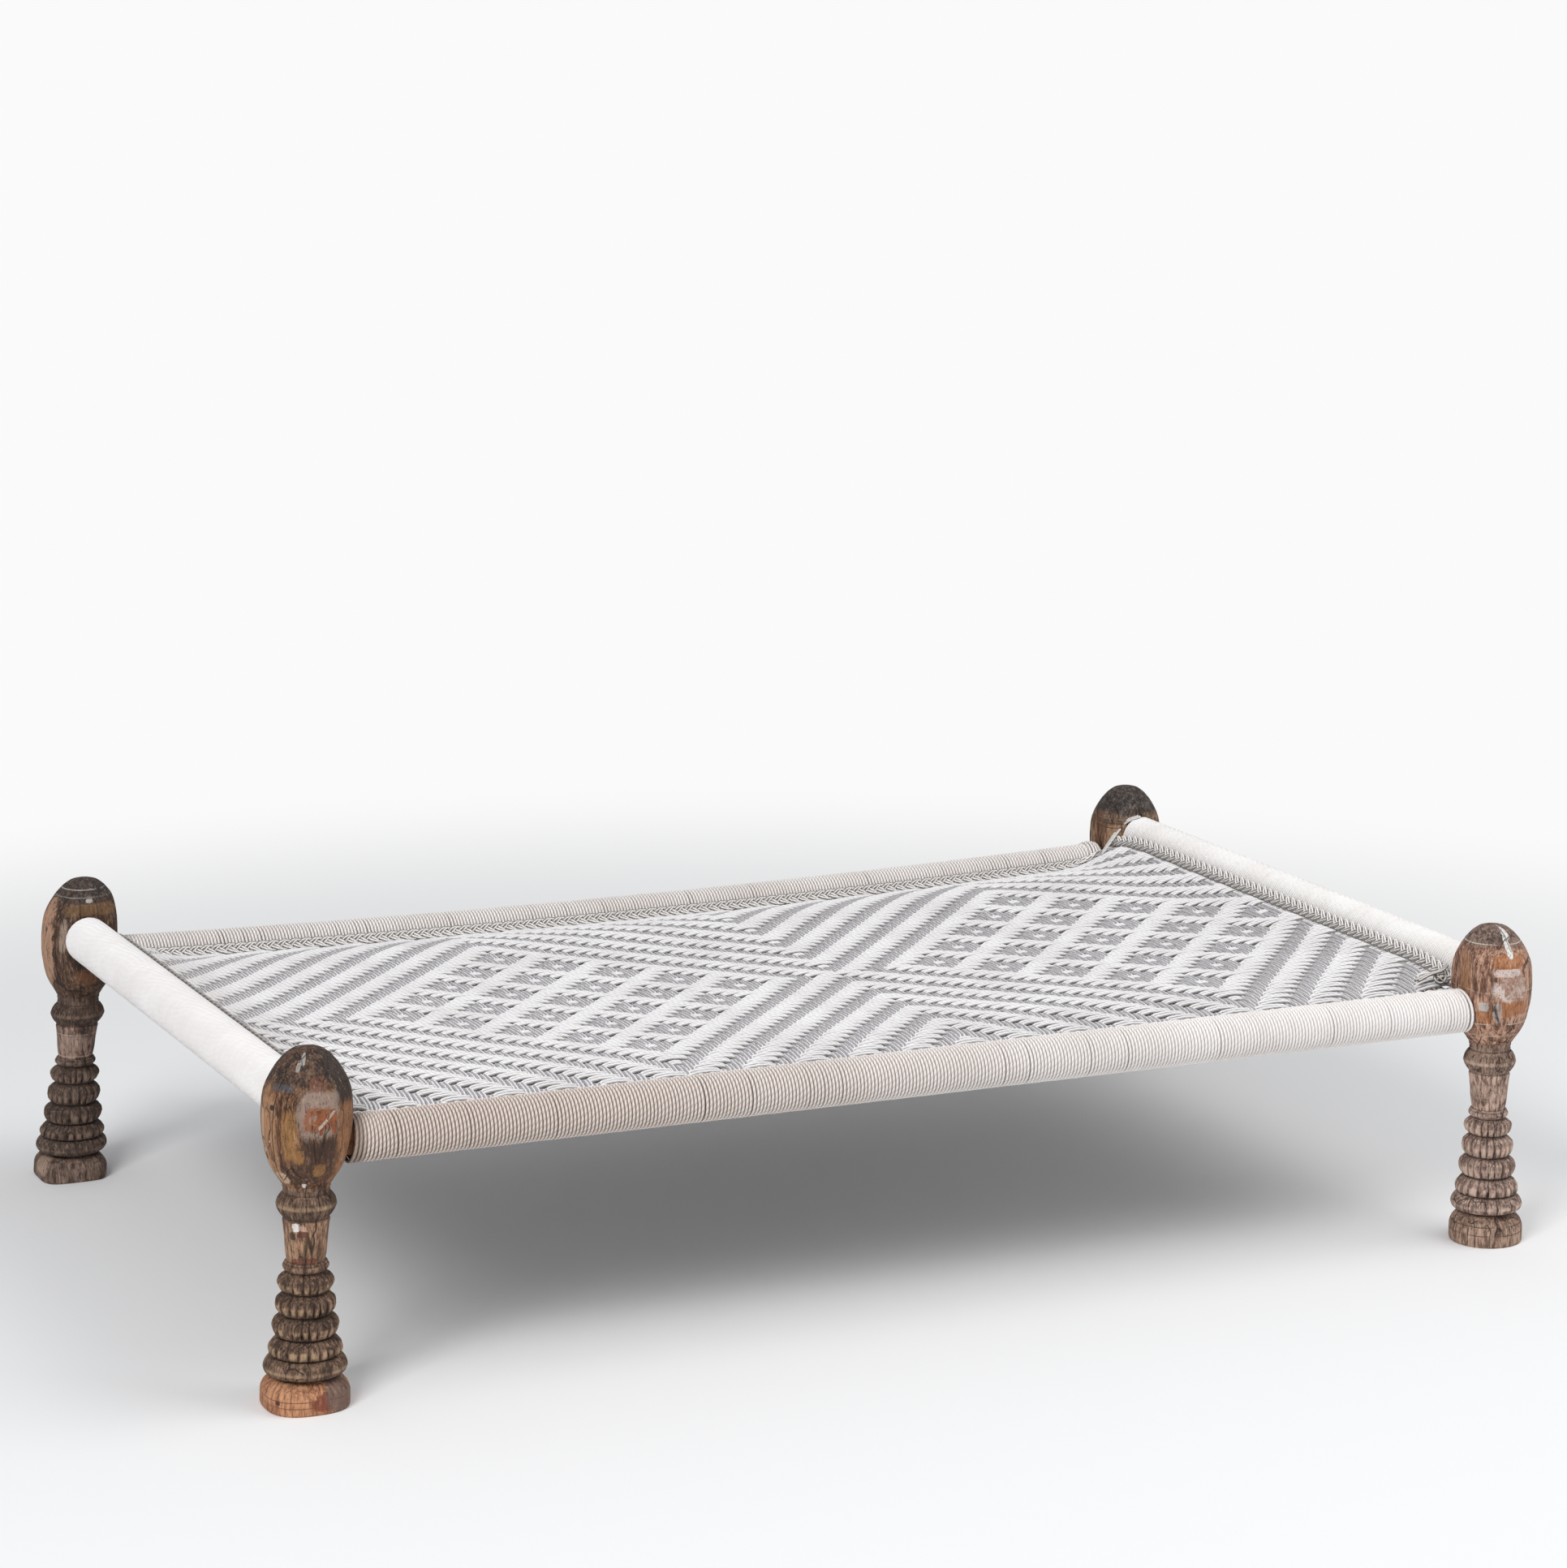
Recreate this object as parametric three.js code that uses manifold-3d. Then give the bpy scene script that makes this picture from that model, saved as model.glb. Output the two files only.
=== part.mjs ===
// Charpai: a low rope bed on four turned legs. Two long and two short rails are
// tenoned through the legs' egg-shaped heads, wound with cotton cord, and joined by
// a woven bed. Millimetres, +Z up, +X along the bed, front at -Y, feet on Z = 0.

import * as THREE from 'three';
import Module from 'manifold-3d';
import { mergeVertices } from 'three/addons/utils/BufferGeometryUtils.js';

const wasm = await Module();
wasm.setup();

// Spacing of the leg axes, at the height of the rails
const legSpacingX = 1720;
const legSpacingY = 1065;

// Cord and clearances
const cordDiameter = 5;
const cordGap = 0.6; // between neighbouring turns
const clearance = 0.3; // between pieces that touch
const legGap = 1; // from a leg's widest bulge to the last turn of cord
const cutOverrun = 15;

// Poles under the cord
const frontPoleDiameter = 51.4;
const backPoleDiameter = 47.4;
const leftPoleDiameter = 56;
const rightPoleDiameter = 55;
const backRailSag = 14;
const tenonWidth = 33;
const tenonHeight = 31;
const tenonProud = 0.4; // of the egg's surface, whose round its end follows

// Wedges driven across the tenons' ends, corner to corner
const wedgeThickness = 4;
const wedgeTipThickness = 1.4;
const wedgeDepth = 24;
const wedgeWidth = 38;

// Turned legs, from the floor up; each gap is the groove below the part that it names
const footHeight = 41;
const ringDiameter = 58.8;
const ringHeight = 13;
const ringGap = 1;
const barrelBottomDiameter = 48;
const barrelTopDiameter = 59;
const barrelHeight = 54;
const barrelGap = 1;
const collarDiameter = 76;
const collarHeight = 31;
const collarGap = 2;
const neckDiameter = 57;
const neckHeight = 11;
const eggDiameter = 114;
const eggHeight = 173;
const seatDepth = 9; // of the flats cut on the egg where the rails butt
const lobeDepth = 3;
const lobeCount = 20;

// Stack of discs above the foot
const discs = [
  { diameter: 106, gap: 1, thickness: 23, lobed: false },
  { diameter: 94, gap: 1, thickness: 23.5, lobed: true },
  { diameter: 85, gap: 1, thickness: 26.5, lobed: true },
  { diameter: 77, gap: 1, thickness: 27, lobed: true },
  { diameter: 72, gap: 1, thickness: 26, lobed: true },
];

// Outlines, as shares of each part's own height and radius
const footShares = [[0, 0.97], [0.05, 1], [0.51, 1], [0.71, 0.94], [0.85, 0.83], [1, 0.66]];
const discShares = [[0, 0.85], [0.3, 0.98], [0.68, 0.97], [1, 0.71]];
const ringShares = [[0, 0.82], [0.5, 1], [0.85, 0.93], [1, 0.82]];
const collarShares = [[0, 0.76], [0.16, 0.87], [0.52, 1], [0.9, 0.875], [1, 0.78]];
const eggShares = [
  [0, 0.53], [0.1, 0.73], [0.22, 0.885], [0.36, 0.968], [0.52, 1], [0.64, 0.983],
  [0.73, 0.92], [0.82, 0.79], [0.89, 0.65], [0.95, 0.48], [0.985, 0.31], [1, 0.08],
];
const lobeStartShare = 0.2; // of a disc's thickness, above which it has its lobes

// The four legs: side of the bed, total height, lean in degrees, shift of the axis from the
// bed's corner at the long rail's height, size and squareness of the foot, height of the long
// rail's axis above the egg's bottom, and wood left between the mortises
const legs = {
  front_left: {
    x: -1, y: -1, height: 458, leanX: 1.29, leanY: 0.04, shiftX: -5.2, shiftY: 2.3,
    footDiameter: 108, footPower: 2.6, railRise: 50, bridge: 8.4,
  },
  back_left: {
    x: -1, y: 1, height: 445, leanX: 3.72, leanY: -1.62, shiftX: 1.4, shiftY: -0.6,
    footDiameter: 97, footPower: 4, railRise: 48.1, bridge: 7.4,
  },
  front_right: {
    x: 1, y: -1, height: 453, leanX: -0.61, leanY: 0.58, shiftX: -2.6, shiftY: 1.2,
    footDiameter: 102, footPower: 2, railRise: 53.1, bridge: 7.4,
  },
  back_right: {
    x: 1, y: 1, height: 445, leanX: 0.18, leanY: -0.14, shiftX: 0, shiftY: 0,
    footDiameter: 104, footPower: 2.4, railRise: 50.1, bridge: 12.4,
  },
};

// Woven bed, its plaited edges and the knot at its front right corner
const bedThickness = 9;
const braidThickness = 9;
const braidWidth = 18;
const braidSeatGap = 0.7; // from the wound cord to the chord of the braid's outer face
const sideRise = 14; // bed surface above the axis of a long rail
const endDrop = 5; // bed surface below the axis of a short rail
const cornerReach = 120; // length over which the edges climb to a corner
const cornerShare = 0.4; // of the height between the rails' edges that a corner climbs
const cornerRoom = 3; // from a leg's widest bulge to the knot beside it
const bedSag = 5;
const knotDiameter = 22;
const knotHeight = 12;
const knotSeatGap = 1; // under the knot, where the bed rises round it
const knottedCorner = 'front_right';

// Turns of cord that end each winding, and the fineness of the meshes
const wholeTurns = 1;
const frontLeftWholeTurns = 3;
const stepsPerTurn = 18;
const cordSides = 6;
const bendSteps = 4;
const poleSides = 16;
const wrapSides = 24;
const bowStations = 6;
const cornerSteps = 5; // stations over which the bed's edge climbs
const middleStepsX = 6;
const middleStepsY = 3;
const knotSides = 10;
const knotRings = 6;

// Sizes that follow from those above
const discsTop = discs.reduce((top, disc) => top + disc.gap + disc.thickness, footHeight);
const ringBottom = discsTop + ringGap;
const barrelBottom = ringBottom + ringHeight + barrelGap;
const collarBottom = barrelBottom + barrelHeight + collarGap;
const eggBottom = collarBottom + collarHeight + neckHeight;
const turningHeight = eggBottom + eggHeight;
const eggRadius = eggDiameter / 2;
const seatDistance = eggRadius - seatDepth;
const lastTurnDistance = eggRadius + legGap + cordDiameter / 2;
const turnPitch = cordDiameter + cordGap;

// Heights of the axes of the long and the short rail at a leg
function railAxes(leg) {
  const side = (eggBottom * leg.height) / turningHeight + leg.railRise;
  return { side, end: side + tenonHeight + 2 * clearance + leg.bridge };
}
const railHeights = Object.fromEntries(Object.entries(legs).map(([name, leg]) => [name, railAxes(leg)]));

// Materials
const legWood = new THREE.MeshStandardMaterial({ color: 0x8a6548, roughness: 0.75, metalness: 0 });
const poleWood = new THREE.MeshStandardMaterial({ color: 0x9a7550, roughness: 0.8, metalness: 0 });
const wedgeWood = new THREE.MeshStandardMaterial({ color: 0xb9a894, roughness: 0.8, metalness: 0 });
const cottonCord = new THREE.MeshStandardMaterial({ color: 0xe9e3db, roughness: 0.95, metalness: 0 });

// Meshes built from points

class Body {
  constructor() {
    this.points = [];
    this.triangles = [];
  }

  point(vector) {
    this.points.push(vector);
    return this.points.length - 1;
  }

  ring(vectors) {
    return vectors.map((vector) => this.point(vector));
  }

  // A flat or slightly bent face, as a fan from its first corner
  face(corners) {
    for (let k = 1; k < corners.length - 1; k++) {
      this.triangles.push([corners[0], corners[k], corners[k + 1]]);
    }
  }

  // Faces between two rings with as many points, or where one has twice as many
  band(lower, upper) {
    if (lower.length === upper.length) {
      for (let k = 0; k < lower.length; k++) {
        const next = (k + 1) % lower.length;
        this.face([lower[k], lower[next], upper[next], upper[k]]);
      }
      return;
    }
    const fineBelow = lower.length > upper.length;
    const [coarse, fine] = fineBelow ? [upper, lower] : [lower, upper];
    for (let k = 0; k < coarse.length; k++) {
      const next = (k + 1) % coarse.length;
      const [first, middle, last] = [fine[2 * k], fine[2 * k + 1], fine[2 * next]];
      const fan = [
        [coarse[k], middle, first],
        [coarse[k], coarse[next], middle],
        [coarse[next], last, middle],
      ];
      fan.forEach((triangle) => this.face(fineBelow ? triangle.toReversed() : triangle));
    }
  }

  // A cap of triangles round a middle point
  cap(ring, reversed) {
    const centre = new THREE.Vector3();
    ring.forEach((index) => centre.add(this.points[index]));
    const middle = this.point(centre.divideScalar(ring.length));
    for (let k = 0; k < ring.length; k++) {
      const edge = [ring[k], ring[(k + 1) % ring.length]];
      this.face([...(reversed ? edge.reverse() : edge), middle]);
    }
  }

  // A body through a row of rings, capped at both ends
  loft(ringsOfVectors) {
    const rings = ringsOfVectors.map((vectors) => this.ring(vectors));
    for (let k = 0; k < rings.length - 1; k++) {
      this.band(rings[k], rings[k + 1]);
    }
    this.cap(rings[0], true);
    this.cap(rings.at(-1), false);
    return this;
  }

  geometry() {
    const corner = (triangle, k) => this.points[triangle[k]];
    const volume = this.triangles.reduce((sum, triangle) => {
      const normal = new THREE.Vector3().crossVectors(corner(triangle, 1), corner(triangle, 2));
      return sum + corner(triangle, 0).dot(normal);
    }, 0);
    const facesOut = volume > 0;
    const geometry = new THREE.BufferGeometry().setFromPoints(this.points);
    geometry.setIndex(this.triangles.flatMap((triangle) => (facesOut ? triangle : triangle.toReversed())));
    return geometry;
  }
}

function toSolid(source) {
  const geometry = source.clone();
  geometry.deleteAttribute('normal');
  geometry.deleteAttribute('uv');
  const merged = mergeVertices(geometry);
  const vertProperties = new Float32Array(merged.attributes.position.array);
  const triVerts = new Uint32Array(merged.index.array);
  return new wasm.Manifold(new wasm.Mesh({ numProp: 3, vertProperties, triVerts }));
}

function fromSolid(solid) {
  const mesh = solid.getMesh();
  const geometry = new THREE.BufferGeometry();
  geometry.setAttribute('position', new THREE.BufferAttribute(mesh.vertProperties, 3));
  geometry.setIndex(new THREE.BufferAttribute(mesh.triVerts, 1));
  return geometry;
}

const without = (solid, tools) => tools.reduce((left, tool) => left.subtract(tool), solid);

function boxBetween(low, high) {
  const size = new THREE.Vector3().subVectors(high, low);
  const middle = new THREE.Vector3().addVectors(low, high).divideScalar(2);
  return new THREE.BoxGeometry(size.x, size.y, size.z).translate(middle.x, middle.y, middle.z);
}

const charpai = new THREE.Group();

function addPiece(name, geometry, material) {
  const shaded = geometry.toNonIndexed();
  shaded.computeVertexNormals();
  const mesh = new THREE.Mesh(shaded, material);
  mesh.name = name;
  charpai.add(mesh);
}

// Rails: places on a rail are (along, across, height), where across is to the left of along

const rails = {
  side_rail_front: {
    alongX: true, offset: -legSpacingY / 2, span: legSpacingX, inward: 1, sag: 0,
    poleDiameter: frontPoleDiameter,
    wholeTurns: [frontLeftWholeTurns, wholeTurns], legNames: ['front_left', 'front_right'],
    title: 'front',
  },
  side_rail_back: {
    alongX: true, offset: legSpacingY / 2, span: legSpacingX, inward: -1, sag: backRailSag,
    poleDiameter: backPoleDiameter,
    wholeTurns: [wholeTurns, wholeTurns], legNames: ['back_left', 'back_right'],
    title: 'back',
  },
  end_rail_left: {
    alongX: false, offset: -legSpacingX / 2, span: legSpacingY, inward: -1, sag: 0,
    poleDiameter: leftPoleDiameter,
    wholeTurns: [wholeTurns, wholeTurns], legNames: ['front_left', 'back_left'],
    title: 'left',
  },
  end_rail_right: {
    alongX: false, offset: legSpacingX / 2, span: legSpacingY, inward: 1, sag: 0,
    poleDiameter: rightPoleDiameter,
    wholeTurns: [wholeTurns, wholeTurns], legNames: ['front_right', 'back_right'],
    title: 'right',
  },
};
for (const rail of Object.values(rails)) {
  rail.heights = rail.legNames.map((name) => railHeights[name][rail.alongX ? 'side' : 'end']);
}

const wrapRadius = (rail) => rail.poleDiameter / 2 + clearance + cordDiameter;
const turnRadius = (rail) => rail.poleDiameter / 2 + clearance + cordDiameter / 2;

function axisHeight(rail, along) {
  const reach = rail.span / 2 - seatDistance;
  const share = THREE.MathUtils.clamp((along + reach) / (2 * reach), 0, 1);
  const [first, last] = rail.heights;
  return first + (last - first) * share - rail.sag * 4 * share * (1 - share);
}

function onRail(rail, along, across, rise) {
  const height = axisHeight(rail, along) + rise;
  return rail.alongX
    ? new THREE.Vector3(along, rail.offset + across, height)
    : new THREE.Vector3(rail.offset - across, along, height);
}

const evenSteps = (first, last, count) =>
  Array.from({ length: count + 1 }, (_, k) => first + ((last - first) * k) / count);

// Turned leg

// Corner of the bed, on the floor, where the axes of two rails cross in plan
const bedCorner = (leg) => new THREE.Vector3((leg.x * legSpacingX) / 2, (leg.y * legSpacingY) / 2, 0);

// The leg's axis at a height, which leans and stands a little off the bed's corner
function legAxis(leg, height) {
  const rise = height - railAxes(leg).side;
  const slopeX = Math.tan(THREE.MathUtils.degToRad(leg.leanX));
  const slopeY = Math.tan(THREE.MathUtils.degToRad(leg.leanY));
  const place = new THREE.Vector3(leg.shiftX + slopeX * rise, leg.shiftY + slopeY * rise, height);
  return place.add(bedCorner(leg));
}

function eggRadiusAt(leg, height) {
  const scale = leg.height / turningHeight;
  const share = (height / scale - eggBottom) / eggHeight;
  const next = eggShares.findIndex(([level]) => level > share);
  const [lowShare, lowRadius] = eggShares[next - 1];
  const [highShare, highRadius] = eggShares[next];
  const between = (share - lowShare) / (highShare - lowShare);
  return eggRadius * (lowRadius + (highRadius - lowRadius) * between);
}

function shapedRings(shares, bottom, height, radius, kind) {
  return shares.map(([level, width]) => ({
    height: bottom + level * height,
    radius: width * radius,
    lobed: kind === 'lobed' && level > lobeStartShare,
    foot: kind === 'foot',
  }));
}

function legOutline(leg) {
  const outline = shapedRings(footShares, 0, footHeight, leg.footDiameter / 2, 'foot');
  let top = footHeight;
  for (const disc of discs) {
    const kind = disc.lobed ? 'lobed' : 'plain';
    outline.push(...shapedRings(discShares, top + disc.gap, disc.thickness, disc.diameter / 2, kind));
    top += disc.gap + disc.thickness;
  }
  outline.push(
    ...shapedRings(ringShares, ringBottom, ringHeight, ringDiameter / 2, 'plain'),
    { height: barrelBottom, radius: barrelBottomDiameter / 2 },
    { height: barrelBottom + barrelHeight, radius: barrelTopDiameter / 2 },
    ...shapedRings(collarShares, collarBottom, collarHeight, collarDiameter / 2, 'plain'),
    { height: eggBottom - neckHeight / 2, radius: neckDiameter / 2 },
    ...shapedRings(eggShares, eggBottom, eggHeight, eggRadius, 'plain'),
  );
  return outline;
}

// Half width of a rounded square of unit half width, in one direction
const squareShare = (angle, power) =>
  (Math.abs(Math.cos(angle)) ** power + Math.abs(Math.sin(angle)) ** power) ** (-1 / power);

function legRing(leg, ring) {
  const centre = legAxis(leg, (ring.height * leg.height) / turningHeight);
  const count = ring.lobed ? 2 * lobeCount : lobeCount;
  return Array.from({ length: count }, (_, k) => {
    const angle = (2 * Math.PI * k) / count;
    const valley = ring.lobed && k % 2 === 1 ? lobeDepth : 0;
    const square = ring.foot ? squareShare(angle, leg.footPower) : 1;
    const radius = (ring.radius - valley) * square;
    return new THREE.Vector3(radius * Math.cos(angle), radius * Math.sin(angle), 0).add(centre);
  });
}

function mortise(leg, height, alongX) {
  const centre = bedCorner(leg).setZ(height);
  const across = tenonWidth / 2 + clearance;
  const through = eggRadius + cutOverrun;
  const [halfX, halfY] = alongX ? [through, across] : [across, through];
  const half = new THREE.Vector3(halfX, halfY, tenonHeight / 2 + clearance);
  return boxBetween(centre.clone().sub(half), centre.clone().add(half));
}

// A flat on the egg, square to the rail that butts against it
function seatFlat(leg, alongX) {
  const side = alongX ? leg.x : leg.y;
  const near = -side * seatDistance;
  const far = -side * (eggRadius + cutOverrun);
  const wide = eggRadius + cutOverrun;
  const centre = bedCorner(leg);
  const low = new THREE.Vector3(-wide, -wide, eggBottom);
  const high = new THREE.Vector3(wide, wide, leg.height + cutOverrun);
  const axis = alongX ? 'x' : 'y';
  low[axis] = Math.min(near, far);
  high[axis] = Math.max(near, far);
  return boxBetween(low.add(centre), high.add(centre));
}

function buildLeg(name) {
  const leg = legs[name];
  const heights = railHeights[name];
  const body = new Body().loft(legOutline(leg).map((ring) => legRing(leg, ring)));
  const cuts = [
    mortise(leg, heights.side, true),
    mortise(leg, heights.end, false),
    seatFlat(leg, true),
    seatFlat(leg, false),
  ];
  addPiece(`leg_${name}`, fromSolid(without(toSolid(body.geometry()), cuts.map(toSolid))), legWood);
}

// What lies outside a leg's egg, from its axis outwards along a rail, to trim a tenon with
function outsideEgg(rail, end) {
  const leg = legs[rail.legNames[end]];
  const radius = eggRadius + tenonProud;
  const rings = shapedRings(eggShares, eggBottom, eggHeight, radius, 'plain');
  const egg = new Body().loft(rings.map((ring) => legRing(leg, ring)));
  const wide = eggRadius + 2 * cutOverrun;
  const centre = bedCorner(leg);
  const low = new THREE.Vector3(-wide, -wide, eggBottom - cutOverrun);
  const high = new THREE.Vector3(wide, wide, leg.height + cutOverrun);
  const outward = rail.alongX ? leg.x : leg.y;
  (outward < 0 ? high : low)[rail.alongX ? 'x' : 'y'] = 0;
  return toSolid(boxBetween(low.add(centre), high.add(centre))).subtract(toSolid(egg.geometry()));
}

// Pole with a rectangular tenon at each end, split for a wedge and trimmed to the egg

function poleOutline(rail, square) {
  const perSide = poleSides / 4;
  return Array.from({ length: poleSides }, (_, k) => {
    if (!square) {
      const angle = (2 * Math.PI * k) / poleSides - 0.75 * Math.PI;
      return [(Math.cos(angle) * rail.poleDiameter) / 2, (Math.sin(angle) * rail.poleDiameter) / 2];
    }
    const slide = (k % perSide) / perSide - 0.5;
    const edges = [[slide, -0.5], [0.5, slide], [-slide, 0.5], [-0.5, -slide]];
    const [width, height] = edges[Math.floor(k / perSide)];
    return [width * tenonWidth, height * tenonHeight];
  });
}

// Length of a pole's half before its end is trimmed
const tenonReach = (rail) => rail.span / 2 + eggRadius + cutOverrun;

// How far the egg's surface lies outside the rail's middle, at the rail's height
function eggReach(rail, end) {
  const leg = legs[rail.legNames[end]];
  const axis = legAxis(leg, rail.heights[end]);
  return Math.abs(rail.alongX ? axis.x : axis.y) + eggRadiusAt(leg, rail.heights[end]);
}

// The wedge's corners, thicker at the tenon's end; room widens it into its slot
function wedgeBody(rail, end, room) {
  const side = end === 0 ? -1 : 1;
  const outer = tenonReach(rail) + clearance;
  const inner = eggReach(rail, end) - wedgeDepth - room;
  const slopeAngle = Math.atan2(tenonHeight, -tenonWidth);
  const widen = (wedgeThickness - wedgeTipThickness) / wedgeDepth;
  const ends = [
    { along: inner, thickness: wedgeTipThickness + 2 * room },
    { along: outer, thickness: wedgeTipThickness + 2 * room + widen * (outer - inner) },
  ];
  const halfWidth = room > 0 ? Math.hypot(tenonWidth, tenonHeight) : wedgeWidth / 2;
  const body = new Body().loft(ends.map(({ along, thickness }) =>
    [[-1, -1], [1, -1], [1, 1], [-1, 1]].map(([u, v]) => {
      const across = u * halfWidth * Math.cos(slopeAngle) - (v * thickness * Math.sin(slopeAngle)) / 2;
      const rise = u * halfWidth * Math.sin(slopeAngle) + (v * thickness * Math.cos(slopeAngle)) / 2;
      return onRail(rail, side * along, across, rise);
    })));
  return toSolid(body.geometry());
}

function buildPole(name) {
  const rail = rails[name];
  const shoulder = rail.span / 2 - seatDistance - clearance;
  const section = (along, square) =>
    poleOutline(rail, square).map(([across, rise]) => onRail(rail, along, across, rise));
  const stations = evenSteps(-shoulder, shoulder, rail.sag > 0 ? bowStations : 1);
  const body = new Body().loft([
    section(-tenonReach(rail), true),
    section(-shoulder, true),
    ...stations.map((along) => section(along, false)),
    section(shoulder, true),
    section(tenonReach(rail), true),
  ]);
  const trims = [0, 1].map((end) => outsideEgg(rail, end));
  const slots = [0, 1].map((end) => wedgeBody(rail, end, clearance));
  addPiece(name, fromSolid(without(toSolid(body.geometry()), [...trims, ...slots])), poleWood);
  rail.legNames.forEach((leg, end) => {
    const wedge = without(wedgeBody(rail, end, 0), [trims[end]]);
    addPiece(`wedge_${rail.title}_rail_${leg}`, fromSolid(wedge), wedgeWood);
  });
}

// Last turns of a winding, as one tube. Its first end runs straight and meets the step
// in the wrap squarely; its last end bends along the pole and meets the flat on the egg.

// At each end, outward runs towards the leg and across turns with it
const atEnd = (rail, end, outward, across, rise) =>
  (end === 0 ? onRail(rail, -outward, -across, rise) : onRail(rail, outward, across, rise));

// Angle from the tube's first bend to the step that its straight end meets
const stepAngle = (radius) => Math.asin((cordDiameter + clearance) / radius);

// The step is under the rail and the last end on top of it
function windingPlan(rail, end) {
  const radius = turnRadius(rail);
  const bendRadius = lastTurnDistance - seatDistance - clearance - cordDiameter;
  const partTurn = Math.PI - bendRadius / radius - stepAngle(wrapRadius(rail));
  const turns = rail.wholeTurns[end] + partTurn / (2 * Math.PI);
  const last = rail.span / 2 - lastTurnDistance;
  const lastAngle = Math.PI / 2 - bendRadius / radius;
  const first = last - turns * turnPitch;
  const firstAngle = lastAngle - 2 * Math.PI * turns;
  return { radius, turns, bendRadius, firstAngle, lastAngle, first, last };
}

function windingPath(rail, end) {
  const { radius, turns, bendRadius, firstAngle, lastAngle, first, last } = windingPlan(rail, end);
  const place = (angle, outward, ahead = 0) => {
    const [cos, sin] = [Math.cos(angle), Math.sin(angle)];
    const axis = atEnd(rail, end, outward, 0, 0);
    return {
      point: atEnd(rail, end, outward, radius * cos - ahead * sin, radius * sin + ahead * cos),
      normal: atEnd(rail, end, outward, cos, sin).sub(axis),
    };
  };
  const path = [place(firstAngle, first, -cordDiameter), place(firstAngle, first)];
  const steps = Math.round(turns * stepsPerTurn);
  for (let k = 1; k <= steps; k++) {
    const share = k / steps;
    path.push(place(firstAngle + (lastAngle - firstAngle) * share, first + (last - first) * share));
  }
  for (let k = 1; k <= bendSteps; k++) {
    const turned = (Math.PI / 2) * (k / bendSteps);
    const angle = lastAngle + (bendRadius * Math.sin(turned)) / radius;
    path.push(place(angle, last + bendRadius * (1 - Math.cos(turned))));
  }
  path.push(place(lastAngle + bendRadius / radius, last + bendRadius + cordDiameter));
  return path;
}

function tubeAlong(path) {
  return new Body().loft(path.map(({ point, normal }, k) => {
    const before = path[Math.max(k - 1, 0)].point;
    const after = path[Math.min(k + 1, path.length - 1)].point;
    const ahead = new THREE.Vector3().subVectors(k === 1 ? point : after, before);
    const sideways = new THREE.Vector3().crossVectors(ahead, normal).normalize();
    return Array.from({ length: cordSides }, (_, side) => {
      const angle = (2 * Math.PI * (side + 0.5)) / cordSides;
      return point.clone()
        .addScaledVector(normal, (Math.cos(angle) * cordDiameter) / 2)
        .addScaledVector(sideways, (Math.sin(angle) * cordDiameter) / 2);
    });
  }));
}

// Least distance between the surfaces of points half a turn or more apart on the path
function leastGap(path) {
  let least = Infinity;
  for (let i = 0; i < path.length; i++) {
    for (let j = i + stepsPerTurn / 2; j < path.length; j++) {
      least = Math.min(least, path[i].point.distanceTo(path[j].point) - cordDiameter);
    }
  }
  return least;
}

function buildWindings(rail) {
  [0, 1].forEach((end) => {
    const name = `end_turns_${rail.title}_rail_${rail.legNames[end]}`;
    const path = windingPath(rail, end);
    console.log(`${name}: least gap between turns ${leastGap(path).toFixed(2)} mm`);
    addPiece(name, tubeAlong(path).geometry(), cottonCord);
  });
}

// Wrap: the close turns of cord between the end turns, as one sleeve round the pole.
// Its ends climb by one turn, so each has a step where the end turns go on from it.

function wrapAngle(rail, end, radius, column) {
  return windingPlan(rail, end).firstAngle - stepAngle(radius) + (2 * Math.PI * column) / wrapSides;
}

function wrapEnd(rail, end, radius, column) {
  const { firstAngle, first } = windingPlan(rail, end);
  const angle = wrapAngle(rail, end, radius, column);
  const climb = (turnPitch * Math.max(angle - firstAngle, 0)) / (2 * Math.PI);
  const outward = first - cordDiameter / 2 - cordGap + climb;
  return atEnd(rail, end, outward, radius * Math.cos(angle), radius * Math.sin(angle));
}

// Rings of one surface of the sleeve: both ends have one point more, across the step
function wrapSurface(body, rail, radius) {
  const columns = evenSteps(0, wrapSides, wrapSides);
  const starting = columns.map((column) => wrapEnd(rail, 0, radius, wrapSides - column));
  const ending = columns.map((column) => wrapEnd(rail, 1, radius, column));
  const reach = rail.span / 2 - lastTurnDistance - turnPitch * (Math.max(...rail.wholeTurns) + 2);
  const stations = evenSteps(-reach, reach, rail.sag > 0 ? bowStations : 1).map((along) =>
    columns.slice(0, wrapSides).map((column) => {
      const angle = wrapAngle(rail, 1, radius, column);
      return onRail(rail, along, radius * Math.cos(angle), radius * Math.sin(angle));
    }));
  return {
    starting: body.ring(starting),
    stations: stations.map((ring) => body.ring(ring)),
    ending: body.ring(ending),
  };
}

function wrapSkin(body, surface, reversed) {
  const face = (corners) => body.face(reversed ? corners.toReversed() : corners);
  const { starting, stations, ending } = surface;
  const firstRing = stations[0];
  const lastRing = stations.at(-1);
  for (let k = 0; k < wrapSides; k++) {
    const next = (k + 1) % wrapSides;
    for (let s = 0; s < stations.length - 1; s++) {
      face([stations[s][k], stations[s][next], stations[s + 1][next], stations[s + 1][k]]);
    }
    if (k === 0) {
      face([firstRing[1], firstRing[0], starting[wrapSides], starting[0], starting[1]]);
    } else {
      face([starting[k], starting[k + 1], firstRing[next], firstRing[k]]);
    }
    if (k === wrapSides - 1) {
      face([lastRing[k], lastRing[0], ending[0], ending[wrapSides], ending[k]]);
    } else {
      face([lastRing[k], lastRing[next], ending[k + 1], ending[k]]);
    }
  }
}

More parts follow.
